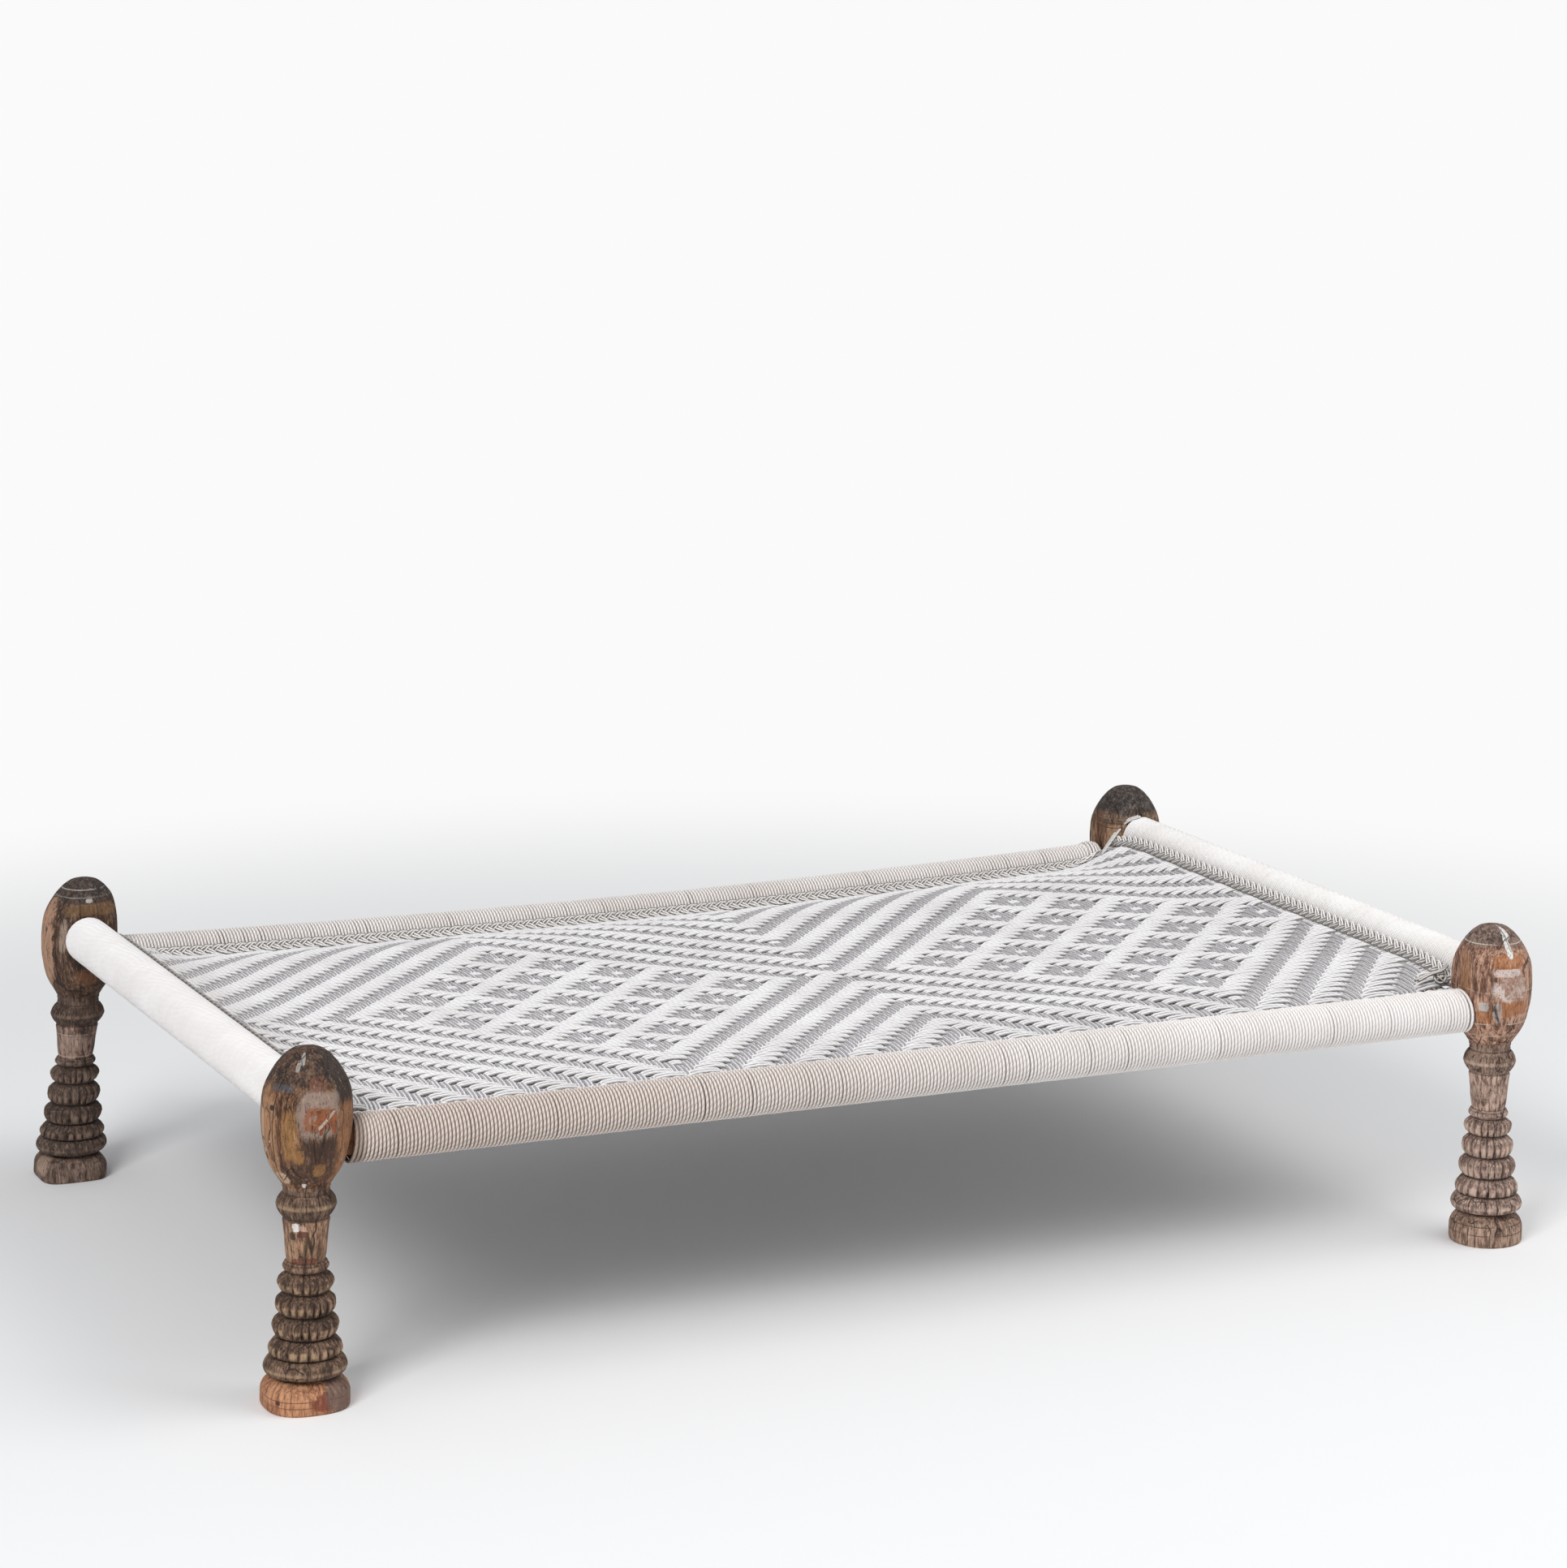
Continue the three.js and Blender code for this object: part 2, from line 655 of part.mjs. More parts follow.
function buildWrap(rail) {
  const body = new Body();
  const boreRadius = (rail.poleDiameter / 2 + clearance) / Math.cos(Math.PI / wrapSides);
  const outside = wrapSurface(body, rail, wrapRadius(rail));
  const inside = wrapSurface(body, rail, boreRadius);
  wrapSkin(body, outside, false);
  wrapSkin(body, inside, true);
  const endFace = (outer, inner, k, next) => body.face([outer[k], outer[next], inner[next], inner[k]]);
  for (let k = 0; k <= wrapSides; k++) {
    const next = (k + 1) % (wrapSides + 1);
    endFace(outside.ending, inside.ending, k, next);
    endFace(inside.starting, outside.starting, k, next);
  }
  addPiece(`cord_wrap_${rail.title}_rail`, body.geometry(), cottonCord);
}

// Woven bed: its edge rises on the rails towards the corners and its middle sags

const sideRails = [rails.side_rail_front, rails.side_rail_back];
const endRails = [rails.end_rail_left, rails.end_rail_right];

const meetsAbove = (rail) => (rail.alongX ? sideRise : -endDrop);

function cornerHeight(name) {
  const heights = railHeights[name];
  return (heights.side + sideRise) * (1 - cornerShare) + (heights.end - endDrop) * cornerShare;
}

// Distance from a rail's axis to the wound cord, in plan, at a rise above the axis
function wrapReach(rail, rise) {
  const radius = wrapRadius(rail) + braidSeatGap;
  return Math.sqrt(Math.max(radius ** 2 - rise ** 2, 0));
}

// Place along a rail of the bed's corner, from the rail that crosses it there
function cornerAlong(rail, end) {
  const name = rail.legNames[end];
  const crossing = (rail.alongX ? endRails : sideRails)[end];
  const rise = cornerHeight(name) - railHeights[name][rail.alongX ? 'end' : 'side'];
  return rail.span / 2 - wrapReach(crossing, rise) - braidWidth - clearance;
}

// Height of the middle of the bed's thickness where it meets a rail
function edgeHeight(rail, along) {
  const end = along < 0 ? 0 : 1;
  const distance = cornerAlong(rail, end) - Math.abs(along);
  const climb = THREE.MathUtils.clamp(1 - distance / cornerReach, 0, 1) ** 2;
  const change = cornerHeight(rail.legNames[end]) - rail.heights[end] - meetsAbove(rail);
  return axisHeight(rail, along) + meetsAbove(rail) + change * climb;
}

const edgeRise = (rail, along) => edgeHeight(rail, along) - axisHeight(rail, along);
const bedEdge = (rail, along) => wrapReach(rail, edgeRise(rail, along)) + braidWidth + clearance;

// Stations along a bed edge as shares of it, close together where it climbs
function edgeStations(rail) {
  const facing = rail.alongX ? sideRails[0] : endRails[0];
  const corner = cornerReach / (cornerAlong(facing, 0) + cornerAlong(facing, 1));
  return [
    ...evenSteps(0, corner, cornerSteps),
    ...evenSteps(corner, 1 - corner, rail.alongX ? middleStepsX : middleStepsY).slice(1, -1),
    ...evenSteps(1 - corner, 1, cornerSteps),
  ];
}

const edgePlace = (rail, share) =>
  -cornerAlong(rail, 0) + (cornerAlong(rail, 0) + cornerAlong(rail, 1)) * share;

// A braid follows the bed's edge, but stops one station short of the leg at each end
function buildBraid(rail) {
  const sections = edgeStations(rail).slice(1, -1).map((share) => {
    const along = edgePlace(rail, share);
    const middle = edgeRise(rail, along);
    const inner = bedEdge(rail, along) - clearance;
    const outline = [-0.5, 0, 0.5].map((level) => {
      const rise = middle + level * braidThickness;
      return [wrapReach(rail, rise), rise];
    });
    outline.push([inner, middle + braidThickness / 2], [inner, middle - braidThickness / 2]);
    return outline.map(([across, rise]) => onRail(rail, along, rail.inward * across, rise));
  });
  addPiece(`edge_braid_${rail.title}`, new Body().loft(sections).geometry(), cottonCord);
}

// A point of the bed's middle surface where it meets the braid along a rail
function bedEdgePoint(rail, share) {
  const along = edgePlace(rail, share);
  return onRail(rail, along, rail.inward * bedEdge(rail, along), edgeRise(rail, along));
}

// Point of the bed's middle surface, blended from its four edges; u runs along the bed
function bedPoint(u, v) {
  const [front, back] = sideRails.map((rail) => bedEdgePoint(rail, u));
  const [left, right] = endRails.map((rail) => bedEdgePoint(rail, v));
  const corners = sideRails.map((rail) => [bedEdgePoint(rail, 0), bedEdgePoint(rail, 1)]);
  const point = new THREE.Vector3()
    .addScaledVector(front, 1 - v).addScaledVector(back, v)
    .addScaledVector(left, 1 - u).addScaledVector(right, u)
    .addScaledVector(corners[0][0], -(1 - u) * (1 - v)).addScaledVector(corners[0][1], -u * (1 - v))
    .addScaledVector(corners[1][0], -(1 - u) * v).addScaledVector(corners[1][1], -u * v);
  return point.setZ(point.z - bedSag * 16 * u * (1 - u) * v * (1 - v));
}

function buildBed() {
  const body = new Body();
  const [columns, rows] = [edgeStations(sideRails[0]), edgeStations(endRails[0])];
  const [farColumn, farRow] = [columns.length - 1, rows.length - 1];
  const [below, above] = [-0.5, 0.5].map((level) =>
    columns.map((u) =>
      body.ring(rows.map((v) => {
        const point = bedPoint(u, v);
        return point.setZ(point.z + level * bedThickness);
      }))));
  for (let i = 0; i < farColumn; i++) {
    for (let j = 0; j < farRow; j++) {
      body.face([above[i][j], above[i + 1][j], above[i + 1][j + 1], above[i][j + 1]]);
      body.face([below[i][j], below[i][j + 1], below[i + 1][j + 1], below[i + 1][j]]);
    }
  }
  const rim = (i, j, nextI, nextJ) =>
    body.face([below[i][j], below[nextI][nextJ], above[nextI][nextJ], above[i][j]]);
  for (let i = 0; i < farColumn; i++) {
    rim(i, 0, i + 1, 0);
    rim(i + 1, farRow, i, farRow);
  }
  for (let j = 0; j < farRow; j++) {
    rim(0, j + 1, 0, j);
    rim(farColumn, j, farColumn, j + 1);
  }
  addPiece('woven_bed', body.geometry(), cottonCord);
}

// Knot that ties off the last cords, lying on a corner of the bed
function buildKnot(name) {
  const leg = legs[name];
  const corner = bedPoint(leg.x < 0 ? 0 : 1, leg.y < 0 ? 0 : 1);
  const post = legAxis(leg, corner.z);
  const away = new THREE.Vector3().subVectors(corner, post).setZ(0).normalize();
  const centre = post.addScaledVector(away, eggRadius + cornerRoom + knotDiameter / 2);
  const lift = Math.max(bedThickness, braidThickness) / 2 + knotSeatGap + knotHeight / 2;
  const knot = new THREE.SphereGeometry(knotDiameter / 2, knotSides, knotRings)
    .rotateX(Math.PI / 2)
    .scale(1, 1, knotHeight / knotDiameter)
    .translate(centre.x, centre.y, corner.z + lift);
  addPiece(`corner_knot_${name}`, knot, cottonCord);
}

for (const name of Object.keys(legs)) {
  buildLeg(name);
}
for (const name of Object.keys(rails)) {
  buildPole(name);
  buildWrap(rails[name]);
  buildWindings(rails[name]);
  buildBraid(rails[name]);
}
buildBed();
buildKnot(knottedCorner);

// The origin is on the floor, under the middle of the whole
const bounds = new THREE.Box3().setFromObject(charpai);
const middle = bounds.getCenter(new THREE.Vector3());
charpai.position.set(-middle.x, -middle.y, -bounds.min.z);

export default charpai;
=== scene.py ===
"""Looks of a charpai: a rope bed on four carved legs, its rails wound with cotton cord
and its bed woven in pairs of cord. Metres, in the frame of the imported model."""

import math

import bpy
import numpy as np
from mathutils import Matrix, Vector


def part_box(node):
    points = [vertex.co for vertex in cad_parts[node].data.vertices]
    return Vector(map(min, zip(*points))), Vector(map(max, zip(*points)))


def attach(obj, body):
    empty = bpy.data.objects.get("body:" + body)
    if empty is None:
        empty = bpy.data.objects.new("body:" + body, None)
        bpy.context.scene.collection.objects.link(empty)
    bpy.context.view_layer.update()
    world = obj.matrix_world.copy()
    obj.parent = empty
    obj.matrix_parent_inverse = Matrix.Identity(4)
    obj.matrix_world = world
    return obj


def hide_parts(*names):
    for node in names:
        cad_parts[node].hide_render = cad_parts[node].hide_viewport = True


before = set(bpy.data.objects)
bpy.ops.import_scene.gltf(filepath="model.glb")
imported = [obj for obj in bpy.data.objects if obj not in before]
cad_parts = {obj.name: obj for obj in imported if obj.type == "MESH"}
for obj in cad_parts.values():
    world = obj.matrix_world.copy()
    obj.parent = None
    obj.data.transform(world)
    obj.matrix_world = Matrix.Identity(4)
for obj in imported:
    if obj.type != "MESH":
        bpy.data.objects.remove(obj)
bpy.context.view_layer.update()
random = np.random.default_rng(7)

MM = 0.001
UPWARDS = (0.0, 0.0, 1.0)

# Sizes shared with the solids
CORD = 5.0 * MM
CORD_OVER_POLE = 0.3 * MM
LEG_SPACING = (1720.0 * MM, 1065.0 * MM)
SEAT_DISTANCE = 48.0 * MM
SIDE_RISE = 14.0 * MM
END_DROP = 5.0 * MM
CORNER_SHARE = 0.4
CORNER_REACH = 120.0 * MM
BRAID_WIDTH = 18.0 * MM
BRAID_SEAT_GAP = 0.7 * MM
CLEARANCE = 0.3 * MM
BED_SAG = 5.0 * MM
TURNING_HEIGHT = 458.0 * MM
LEG_LEANS = {
    "front_left": (1.29, 0.04),
    "back_left": (3.72, -1.62),
    "front_right": (-0.61, 0.58),
    "back_right": (0.18, -0.14),
}
LEG_SHIFTS = {  # of the axis from the bed's corner, at the long rail's height
    "front_left": (-5.2 * MM, 2.3 * MM),
    "back_left": (1.4 * MM, -0.6 * MM),
    "front_right": (-2.6 * MM, 1.2 * MM),
    "back_right": (0.0, 0.0),
}
RAIL_AXES = {  # heights of the long and the short rail at each leg
    "front_left": (335.0 * MM, 375.0 * MM),
    "back_left": (325.0 * MM, 364.0 * MM),
    "front_right": (335.0 * MM, 374.0 * MM),
    "back_right": (327.0 * MM, 371.0 * MM),
}


def middle_of(node):
    low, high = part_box(node)
    return (low + high) / 2


# The solids' middle is a little off the middle of the legs' axes
SHIFT = Vector((
    (middle_of("end_rail_left").x + middle_of("end_rail_right").x) / 2,
    (middle_of("side_rail_front").y + middle_of("side_rail_back").y) / 2,
    0.0,
))


def clamp(values, low, high):
    return np.minimum(np.maximum(values, low), high)


def smooth(values, low, high):
    """0 below low and 1 above high, smooth between; high may be the lower one."""
    share = clamp((values - low) / (high - low), 0.0, 1.0)
    return share * share * (3 - 2 * share)


# Camera, where the photograph was taken from

FOCAL_SHARE = 5406.0 / 1932.0  # of the photograph's longer side, in its pixels
SENSOR_SIZE = 36.0
CAMERA_PLACE = (-2482.0, -5505.0, 1864.0)
CAMERA_AHEAD = (0.4133, 0.9106, 0.0)
CAMERA_PITCH = 11.67
CAMERA_ROLL = 0.41


def add_camera():
    camera = bpy.data.objects.new("camera", bpy.data.cameras.new("camera"))
    camera.data.lens = FOCAL_SHARE * SENSOR_SIZE
    ahead = Vector(CAMERA_AHEAD).normalized()
    pitch = math.radians(CAMERA_PITCH)
    view = ahead * math.cos(pitch) - Vector((0.0, 0.0, math.sin(pitch)))
    turn = view.to_track_quat("-Z", "Y").to_matrix().to_4x4()
    roll = Matrix.Rotation(math.radians(CAMERA_ROLL), 4, "Z")
    place = Vector(CAMERA_PLACE) * MM + SHIFT
    camera.matrix_world = Matrix.Translation(place) @ turn @ roll
    bpy.context.scene.collection.objects.link(camera)
    bpy.context.scene.camera = camera


add_camera()


# Rails: places on a rail are (along, across, rise), where across is to the left of along

class Rail:
    def __init__(self, title, along_x, side, inward, sag, leg_names):
        self.title, self.along_x, self.inward, self.sag = title, along_x, inward, sag
        self.leg_names = leg_names
        self.axis, self.other = (0, 1) if along_x else (1, 0)
        self.span = LEG_SPACING[self.axis]
        self.offset = side * LEG_SPACING[self.other] / 2
        self.heights = [RAIL_AXES[name][self.axis] for name in leg_names]
        low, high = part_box(f"side_rail_{title}" if along_x else f"end_rail_{title}")
        pole_radius = (high[self.other] - low[self.other]) / 2
        self.wrap_radius = pole_radius + CORD_OVER_POLE + CORD
        self.turn_radius = pole_radius + CORD_OVER_POLE + CORD / 2

    def axis_height(self, along):
        reach = self.span / 2 - SEAT_DISTANCE
        share = clamp((along + reach) / (2 * reach), 0.0, 1.0)
        first, last = self.heights
        return first + (last - first) * share - self.sag * 4 * share * (1 - share)

    def place(self, along, across, rise):
        along, across, rise = np.broadcast_arrays(along, across, rise)
        spots = [along, self.offset + across] if self.along_x else [self.offset - across, along]
        return np.stack([*spots, self.axis_height(along) + rise], axis=-1) + np.array(SHIFT)

    def direction(self, across, rise):
        across, rise = np.broadcast_arrays(across, rise)
        nothing = np.zeros_like(across)
        if self.along_x:
            return np.stack([nothing, across, rise], axis=-1)
        return np.stack([-across, nothing, rise], axis=-1)


RAILS = {
    "front": Rail("front", True, -1, 1, 0.0, ("front_left", "front_right")),
    "back": Rail("back", True, 1, -1, 14.0 * MM, ("back_left", "back_right")),
    "left": Rail("left", False, -1, -1, 0.0, ("front_left", "back_left")),
    "right": Rail("right", False, 1, 1, 0.0, ("front_right", "back_right")),
}


# The bed's surface: its edge climbs at the corners and its middle sags

def corner_height(name):
    side, end = RAIL_AXES[name]
    return (side + SIDE_RISE) * (1 - CORNER_SHARE) + (end - END_DROP) * CORNER_SHARE


def meets_above(rail):
    """How far the bed's edge lies above a rail's axis, away from its corners."""
    return SIDE_RISE if rail.along_x else -END_DROP


def wrap_reach(rail, rise):
    """Distance of a plait's seat from a rail's axis, at a height above it."""
    return np.sqrt(np.maximum((rail.wrap_radius + BRAID_SEAT_GAP) ** 2 - rise**2, 0.0))


def corner_along(rail, end):
    name = rail.leg_names[end]
    crossing = RAILS[("left", "right")[end] if rail.along_x else ("front", "back")[end]]
    rise = corner_height(name) - RAIL_AXES[name][rail.other]
    return rail.span / 2 - wrap_reach(crossing, rise) - BRAID_WIDTH - CLEARANCE


def edge_rise(rail, along):
    near_end = (along >= 0).astype(int)
    corners = np.array([corner_along(rail, 0), corner_along(rail, 1)])[near_end]
    changes = np.array([
        corner_height(name) - rail.heights[end] - meets_above(rail)
        for end, name in enumerate(rail.leg_names)
    ])[near_end]
    climb = clamp(1 - (corners - np.abs(along)) / CORNER_REACH, 0.0, 1.0) ** 2
    return meets_above(rail) + changes * climb


def edge_along(rail, share):
    first, last = corner_along(rail, 0), corner_along(rail, 1)
    return -first + (first + last) * share


def edge_place(rail, share):
    along = edge_along(rail, share)
    rise = edge_rise(rail, along)
    across = rail.inward * (wrap_reach(rail, rise) + BRAID_WIDTH + CLEARANCE)
    return rail.place(along, across, rise)


BACK_DIP = 17.0 * MM
BACK_DIP_REACH = 220.0 * MM
BACK_DIP_FADE_SHARE = 0.6


def back_dip(along):
    """How far the weave's edge hangs below the solid one along the back rail."""
    rail = RAILS["back"]
    corners = np.where(along >= 0, corner_along(rail, 1), corner_along(rail, 0))
    return BACK_DIP * smooth((corners - np.abs(along)) / CORNER_REACH, 0.0, BACK_DIP_FADE_SHARE)


def bed_place(u, v):
    """Places on the bed's middle surface; u runs along the bed and v across it."""
    u, v = np.broadcast_arrays(np.asarray(u, float), np.asarray(v, float))
    front, back = edge_place(RAILS["front"], u), edge_place(RAILS["back"], u)
    left, right = edge_place(RAILS["left"], v), edge_place(RAILS["right"], v)
    ends = np.array([0.0, 1.0])
    front_corners, back_corners = edge_place(RAILS["front"], ends), edge_place(RAILS["back"], ends)
    u, v = u[..., None], v[..., None]
    places = front * (1 - v) + back * v + left * (1 - u) + right * u
    places -= front_corners[0] * (1 - u) * (1 - v) + front_corners[1] * u * (1 - v)
    places -= back_corners[0] * (1 - u) * v + back_corners[1] * u * v
    places[..., 2] -= (BED_SAG * 16 * u * (1 - u) * v * (1 - v))[..., 0]
    depth = LEG_SPACING[1] * (1 - v[..., 0]) / BACK_DIP_REACH
    places[..., 2] -= back_dip(edge_along(RAILS["back"], u[..., 0])) * smooth(depth, 1.0, 0.0)
    return places


# Node trees: sockets that can be reckoned with like numbers

class Value:
    """An output socket of a node."""

    def __init__(self, nodes, socket):
        self.nodes, self.socket = nodes, socket

    def reckon(operation):
        """An operator that adds a maths node."""
        return lambda *values: values[0].nodes.maths(operation, *values)

    __add__ = __radd__ = reckon("ADD")
    __sub__ = reckon("SUBTRACT")
    __mul__ = __rmul__ = reckon("MULTIPLY")
    __pow__ = reckon("POWER")
    __abs__ = reckon("ABSOLUTE")

    def output(self, key):
        """Another output of the same node."""
        return Value(self.nodes, self.socket.node.outputs[key])


class Nodes:
    """A node tree and what is put into it."""

    def __init__(self, tree):
        self.tree = tree
        self.tree.nodes.clear()

    def node(self, kind, sockets=None, output=0, **settings):
        node = self.tree.nodes.new(kind)
        for name, setting in settings.items():
            setattr(node, name, setting)
        for name, value in (sockets or {}).items():
            if isinstance(value, Value):
                self.tree.links.new(value.socket, node.inputs[name])
            else:
                node.inputs[name].default_value = value
        return Value(self, node.outputs[output]) if node.outputs else None

    def maths(self, operation, *values):
        return self.node("ShaderNodeMath", dict(enumerate(values)), operation=operation)


# Finishes

SHINE = 0.3


class Finish(Nodes):
    """The nodes of one material."""

    def __init__(self, name):
        self.material = bpy.data.materials.new(name)
        self.material.use_nodes = True
        super().__init__(self.material.node_tree)

    def ramp(self, value, low, high):
        """0 below low and 1 above high, smooth between; high may be the lower one."""
        sockets = {"Value": value, "From Min": low, "From Max": high, "To Min": 0.0, "To Max": 1.0}
        if low > high:
            sockets.update({"From Min": high, "From Max": low, "To Min": 1.0, "To Max": 0.0})
        return self.node("ShaderNodeMapRange", sockets, interpolation_type="SMOOTHSTEP")

    def mix(self, share, first, second):
        """Between two colours, each a Value or red, green and blue of 0 to 255."""
        tints = [colour(*tint) if isinstance(tint, tuple) else tint for tint in (first, second)]
        sockets = {0: share, 6: tints[0], 7: tints[1]}
        return self.node("ShaderNodeMix", sockets, 2, data_type="RGBA", clamp_factor=True)

    def coordinates(self, kind="Object", stretch=(1.0, 1.0, 1.0), move=(0.0, 0.0, 0.0)):
        place = self.node("ShaderNodeTexCoord").output(kind)
        return self.node("ShaderNodeMapping", {"Vector": place, "Scale": stretch, "Location": move})

    def axes(self, place):
        split = self.node("ShaderNodeSeparateXYZ", {0: place})
        return [split.output(k) for k in range(3)]

    def noise(self, place, scale, detail=3.0, roughness=0.55, distortion=0.0):
        return self.node("ShaderNodeTexNoise", {"Vector": place, "Scale": scale, "Detail": detail,
                                                "Roughness": roughness, "Distortion": distortion})

    def attribute(self, name):
        return self.node("ShaderNodeAttribute", output=2, attribute_name=name)

    def surface(self, tint, roughness, height, depth, sheen=0.0):
        bump = self.node("ShaderNodeBump", {"Height": height, "Distance": depth, "Strength": 1.0})
        sockets = {"Base Color": tint, "Roughness": roughness, "Sheen Weight": sheen, "Normal": bump,
                   "Specular IOR Level": SHINE}
        shader = self.node("ShaderNodeBsdfPrincipled", sockets)
        self.node("ShaderNodeOutputMaterial", {"Surface": shader})
        return self.material


def colour(red, green, blue):
    """A colour of 0 to 255 as the linear one that sockets take."""
    def linear(value):
        value /= 255.0
        return value / 12.92 if value <= 0.04045 else ((value + 0.055) / 1.055) ** 2.4

    return (linear(red), linear(green), linear(blue), 1.0)


CORD_PLIES = 3.0
CORD_LAY = 8.0 * MM
CORD_BUMP = 0.45 * MM
CORD_SHEEN = 0.1
BLOTCH_SCALE = 9.0
FIBRE_SCALE = 900.0
WEAR_STRETCH = (28.0, 0.6, 1.0)


def cord_finish(name, pale, dull, shade_tint, side_shade_strength, ply_shade=0.3, dirt_and_shade=None, shade_fade=None):
    """Twisted cotton: its plies slant round the cord and it is a little grubby in places.
    Painted shade darkens its sides and underside and the grooves between its plies. After
    the two tints come the colour of that painted shade, its strength on the sides and in the
    ply grooves, a change of colour from place to place (real dirt on the front rail's cord,
    painted shade by the left rail on the weave), and where the painted shade fades."""
    finish = Finish(name)
    length, around, _ = finish.axes(finish.coordinates("UV"))
    place = finish.coordinates()
    slant = (around * CORD_PLIES - length * (1.0 / CORD_LAY)) * (2 * math.pi)
    ply = finish.maths("COSINE", slant) * 0.5 + 0.5
    blotches = finish.noise(place, BLOTCH_SCALE)
    along = finish.noise(finish.coordinates("UV", WEAR_STRETCH), 1.0, 2.0)
    fibres = finish.noise(place, FIBRE_SCALE, 2.0)
    wear = finish.ramp(blotches * 0.6 + along * 0.4, 0.38, 0.66)
    base = finish.mix(wear * 0.85, pale, dull)
    # Real dirt on the front rail's cord, painted shade on the weave near the left rail
    if dirt_and_shade:
        base = dirt_and_shade(finish, base, place)
    # The painted shade is weakened where the last argument says
    if shade_fade:
        side_shade_strength = shade_fade(finish, place) * side_shade_strength
        ply_shade = shade_fade(finish, place) * ply_shade
    # Painted shade: the cord's sides and underside are darker than its top, which faces up
    side = finish.ramp(abs(around - 0.5), 0.38, 0.24)
    base = finish.mix(side * side_shade_strength, base, shade_tint)
    # Painted shade in the grooves between the plies
    groove = finish.ramp(ply, 0.32, 0.0)
    base = finish.mix(groove * ply_shade, base, shade_tint)
    height = ply * 0.7 + fibres * 0.3
    return finish.surface(base, fibres * 0.1 + 0.86, height, CORD_BUMP, CORD_SHEEN)


# Geometry nodes

def cord_builder():
    """Turns every line of a mesh into a cord, flattened towards its 'facing' direction,
    with a UV map that runs along it in metres and once round it."""
    build = Nodes(bpy.data.node_groups.new("cord along lines", "GeometryNodeTree"))
    inputs = {"Geometry": "Geometry", "Width": "Float", "Thickness": "Float", "Sides": "Int",
              "Material": "Material"}
    for name, kind in inputs.items():
        build.tree.interface.new_socket(name, in_out="INPUT", socket_type=f"NodeSocket{kind}")
    build.tree.interface.new_socket("Geometry", in_out="OUTPUT", socket_type="NodeSocketGeometry")
    start = build.node("NodeGroupInput")

    def along(curve, key):
        """The curve, with one of its points' parameters held for later."""
        node = build.node("GeometryNodeCaptureAttribute").socket.node
        node.capture_items.new("FLOAT", "held")
        parameter = build.node("GeometryNodeSplineParameter").output(key)
        build.tree.links.new(curve.socket, node.inputs[0])
        build.tree.links.new(parameter.socket, node.inputs[1])
        return [Value(build, node.outputs[k]) for k in range(2)]

    lines = build.node("GeometryNodeMeshToCurve", {0: start})
    facing = build.node(
        "GeometryNodeInputNamedAttribute", {"Name": "facing"}, data_type="FLOAT_VECTOR"
    )
    lines = build.node("GeometryNodeSetCurveNormal", {"Curve": lines, "Normal": facing}, mode="FREE")
    lines, length = along(lines, "Length")
    sides, width, thickness, material = map(start.output, ("Sides", "Width", "Thickness", "Material"))
    ring = build.node("GeometryNodeCurvePrimitiveCircle", {"Resolution": sides, "Radius": 0.5})
    scale = build.node("ShaderNodeCombineXYZ", {0: thickness, 1: width, 2: 1.0})
    ring = build.node("GeometryNodeTransform", {"Geometry": ring, "Scale": scale})
    ring, around = along(ring, "Factor")
    sockets = {"Curve": lines, "Profile Curve": ring, "Fill Caps": True}
    tube = build.node("GeometryNodeCurveToMesh", sockets)
    place = build.node("ShaderNodeCombineXYZ", {0: length, 1: around})
    sockets = {"Geometry": tube, "Name": "UVMap", "Value": place}
    tube = build.node("GeometryNodeStoreNamedAttribute", sockets, data_type="FLOAT2", domain="CORNER")
    tube = build.node("GeometryNodeSetShadeSmooth", {"Geometry": tube, "Shade Smooth": True})
    tube = build.node("GeometryNodeRealizeInstances", {"Geometry": tube})
    tube = build.node("GeometryNodeSetMaterial", {"Geometry": tube, "Material": material})
    build.node("NodeGroupOutput", {0: tube})
    return build.tree


CORD_TREE = cord_builder()


def add_piece(name, mesh):
    piece = bpy.data.objects.new(name, mesh)
    bpy.context.scene.collection.objects.link(piece)
    return piece


def dress(piece, slot, *nodes):
    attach(piece, "root")
    if nodes:
        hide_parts(*nodes)


def fill(items, key, values, kind=np.float32):
    items.foreach_set(key, np.asarray(values).astype(kind).ravel())


def lines_mesh(name, paths, facings):
    """A mesh of open lines, one for each path, with the way that each point faces."""
    mesh = bpy.data.meshes.new(name)
    ends = np.cumsum([len(path) for path in paths])
    first = np.setdiff1d(np.arange(ends[-1]), ends - 1)
    mesh.vertices.add(ends[-1])
    fill(mesh.vertices, "co", np.concatenate(paths))
    mesh.edges.add(len(first))
    fill(mesh.edges, "vertices", np.stack([first, first + 1], axis=-1), np.int32)
    facing = mesh.attributes.new("facing", "FLOAT_VECTOR", "POINT")
    fill(facing.data, "vector", np.concatenate(facings))
    mesh.update()
    return mesh


def one_way(paths, way):
    """The same facing for every point of every path."""
    return [np.tile(way, (len(path), 1)) for path in paths]


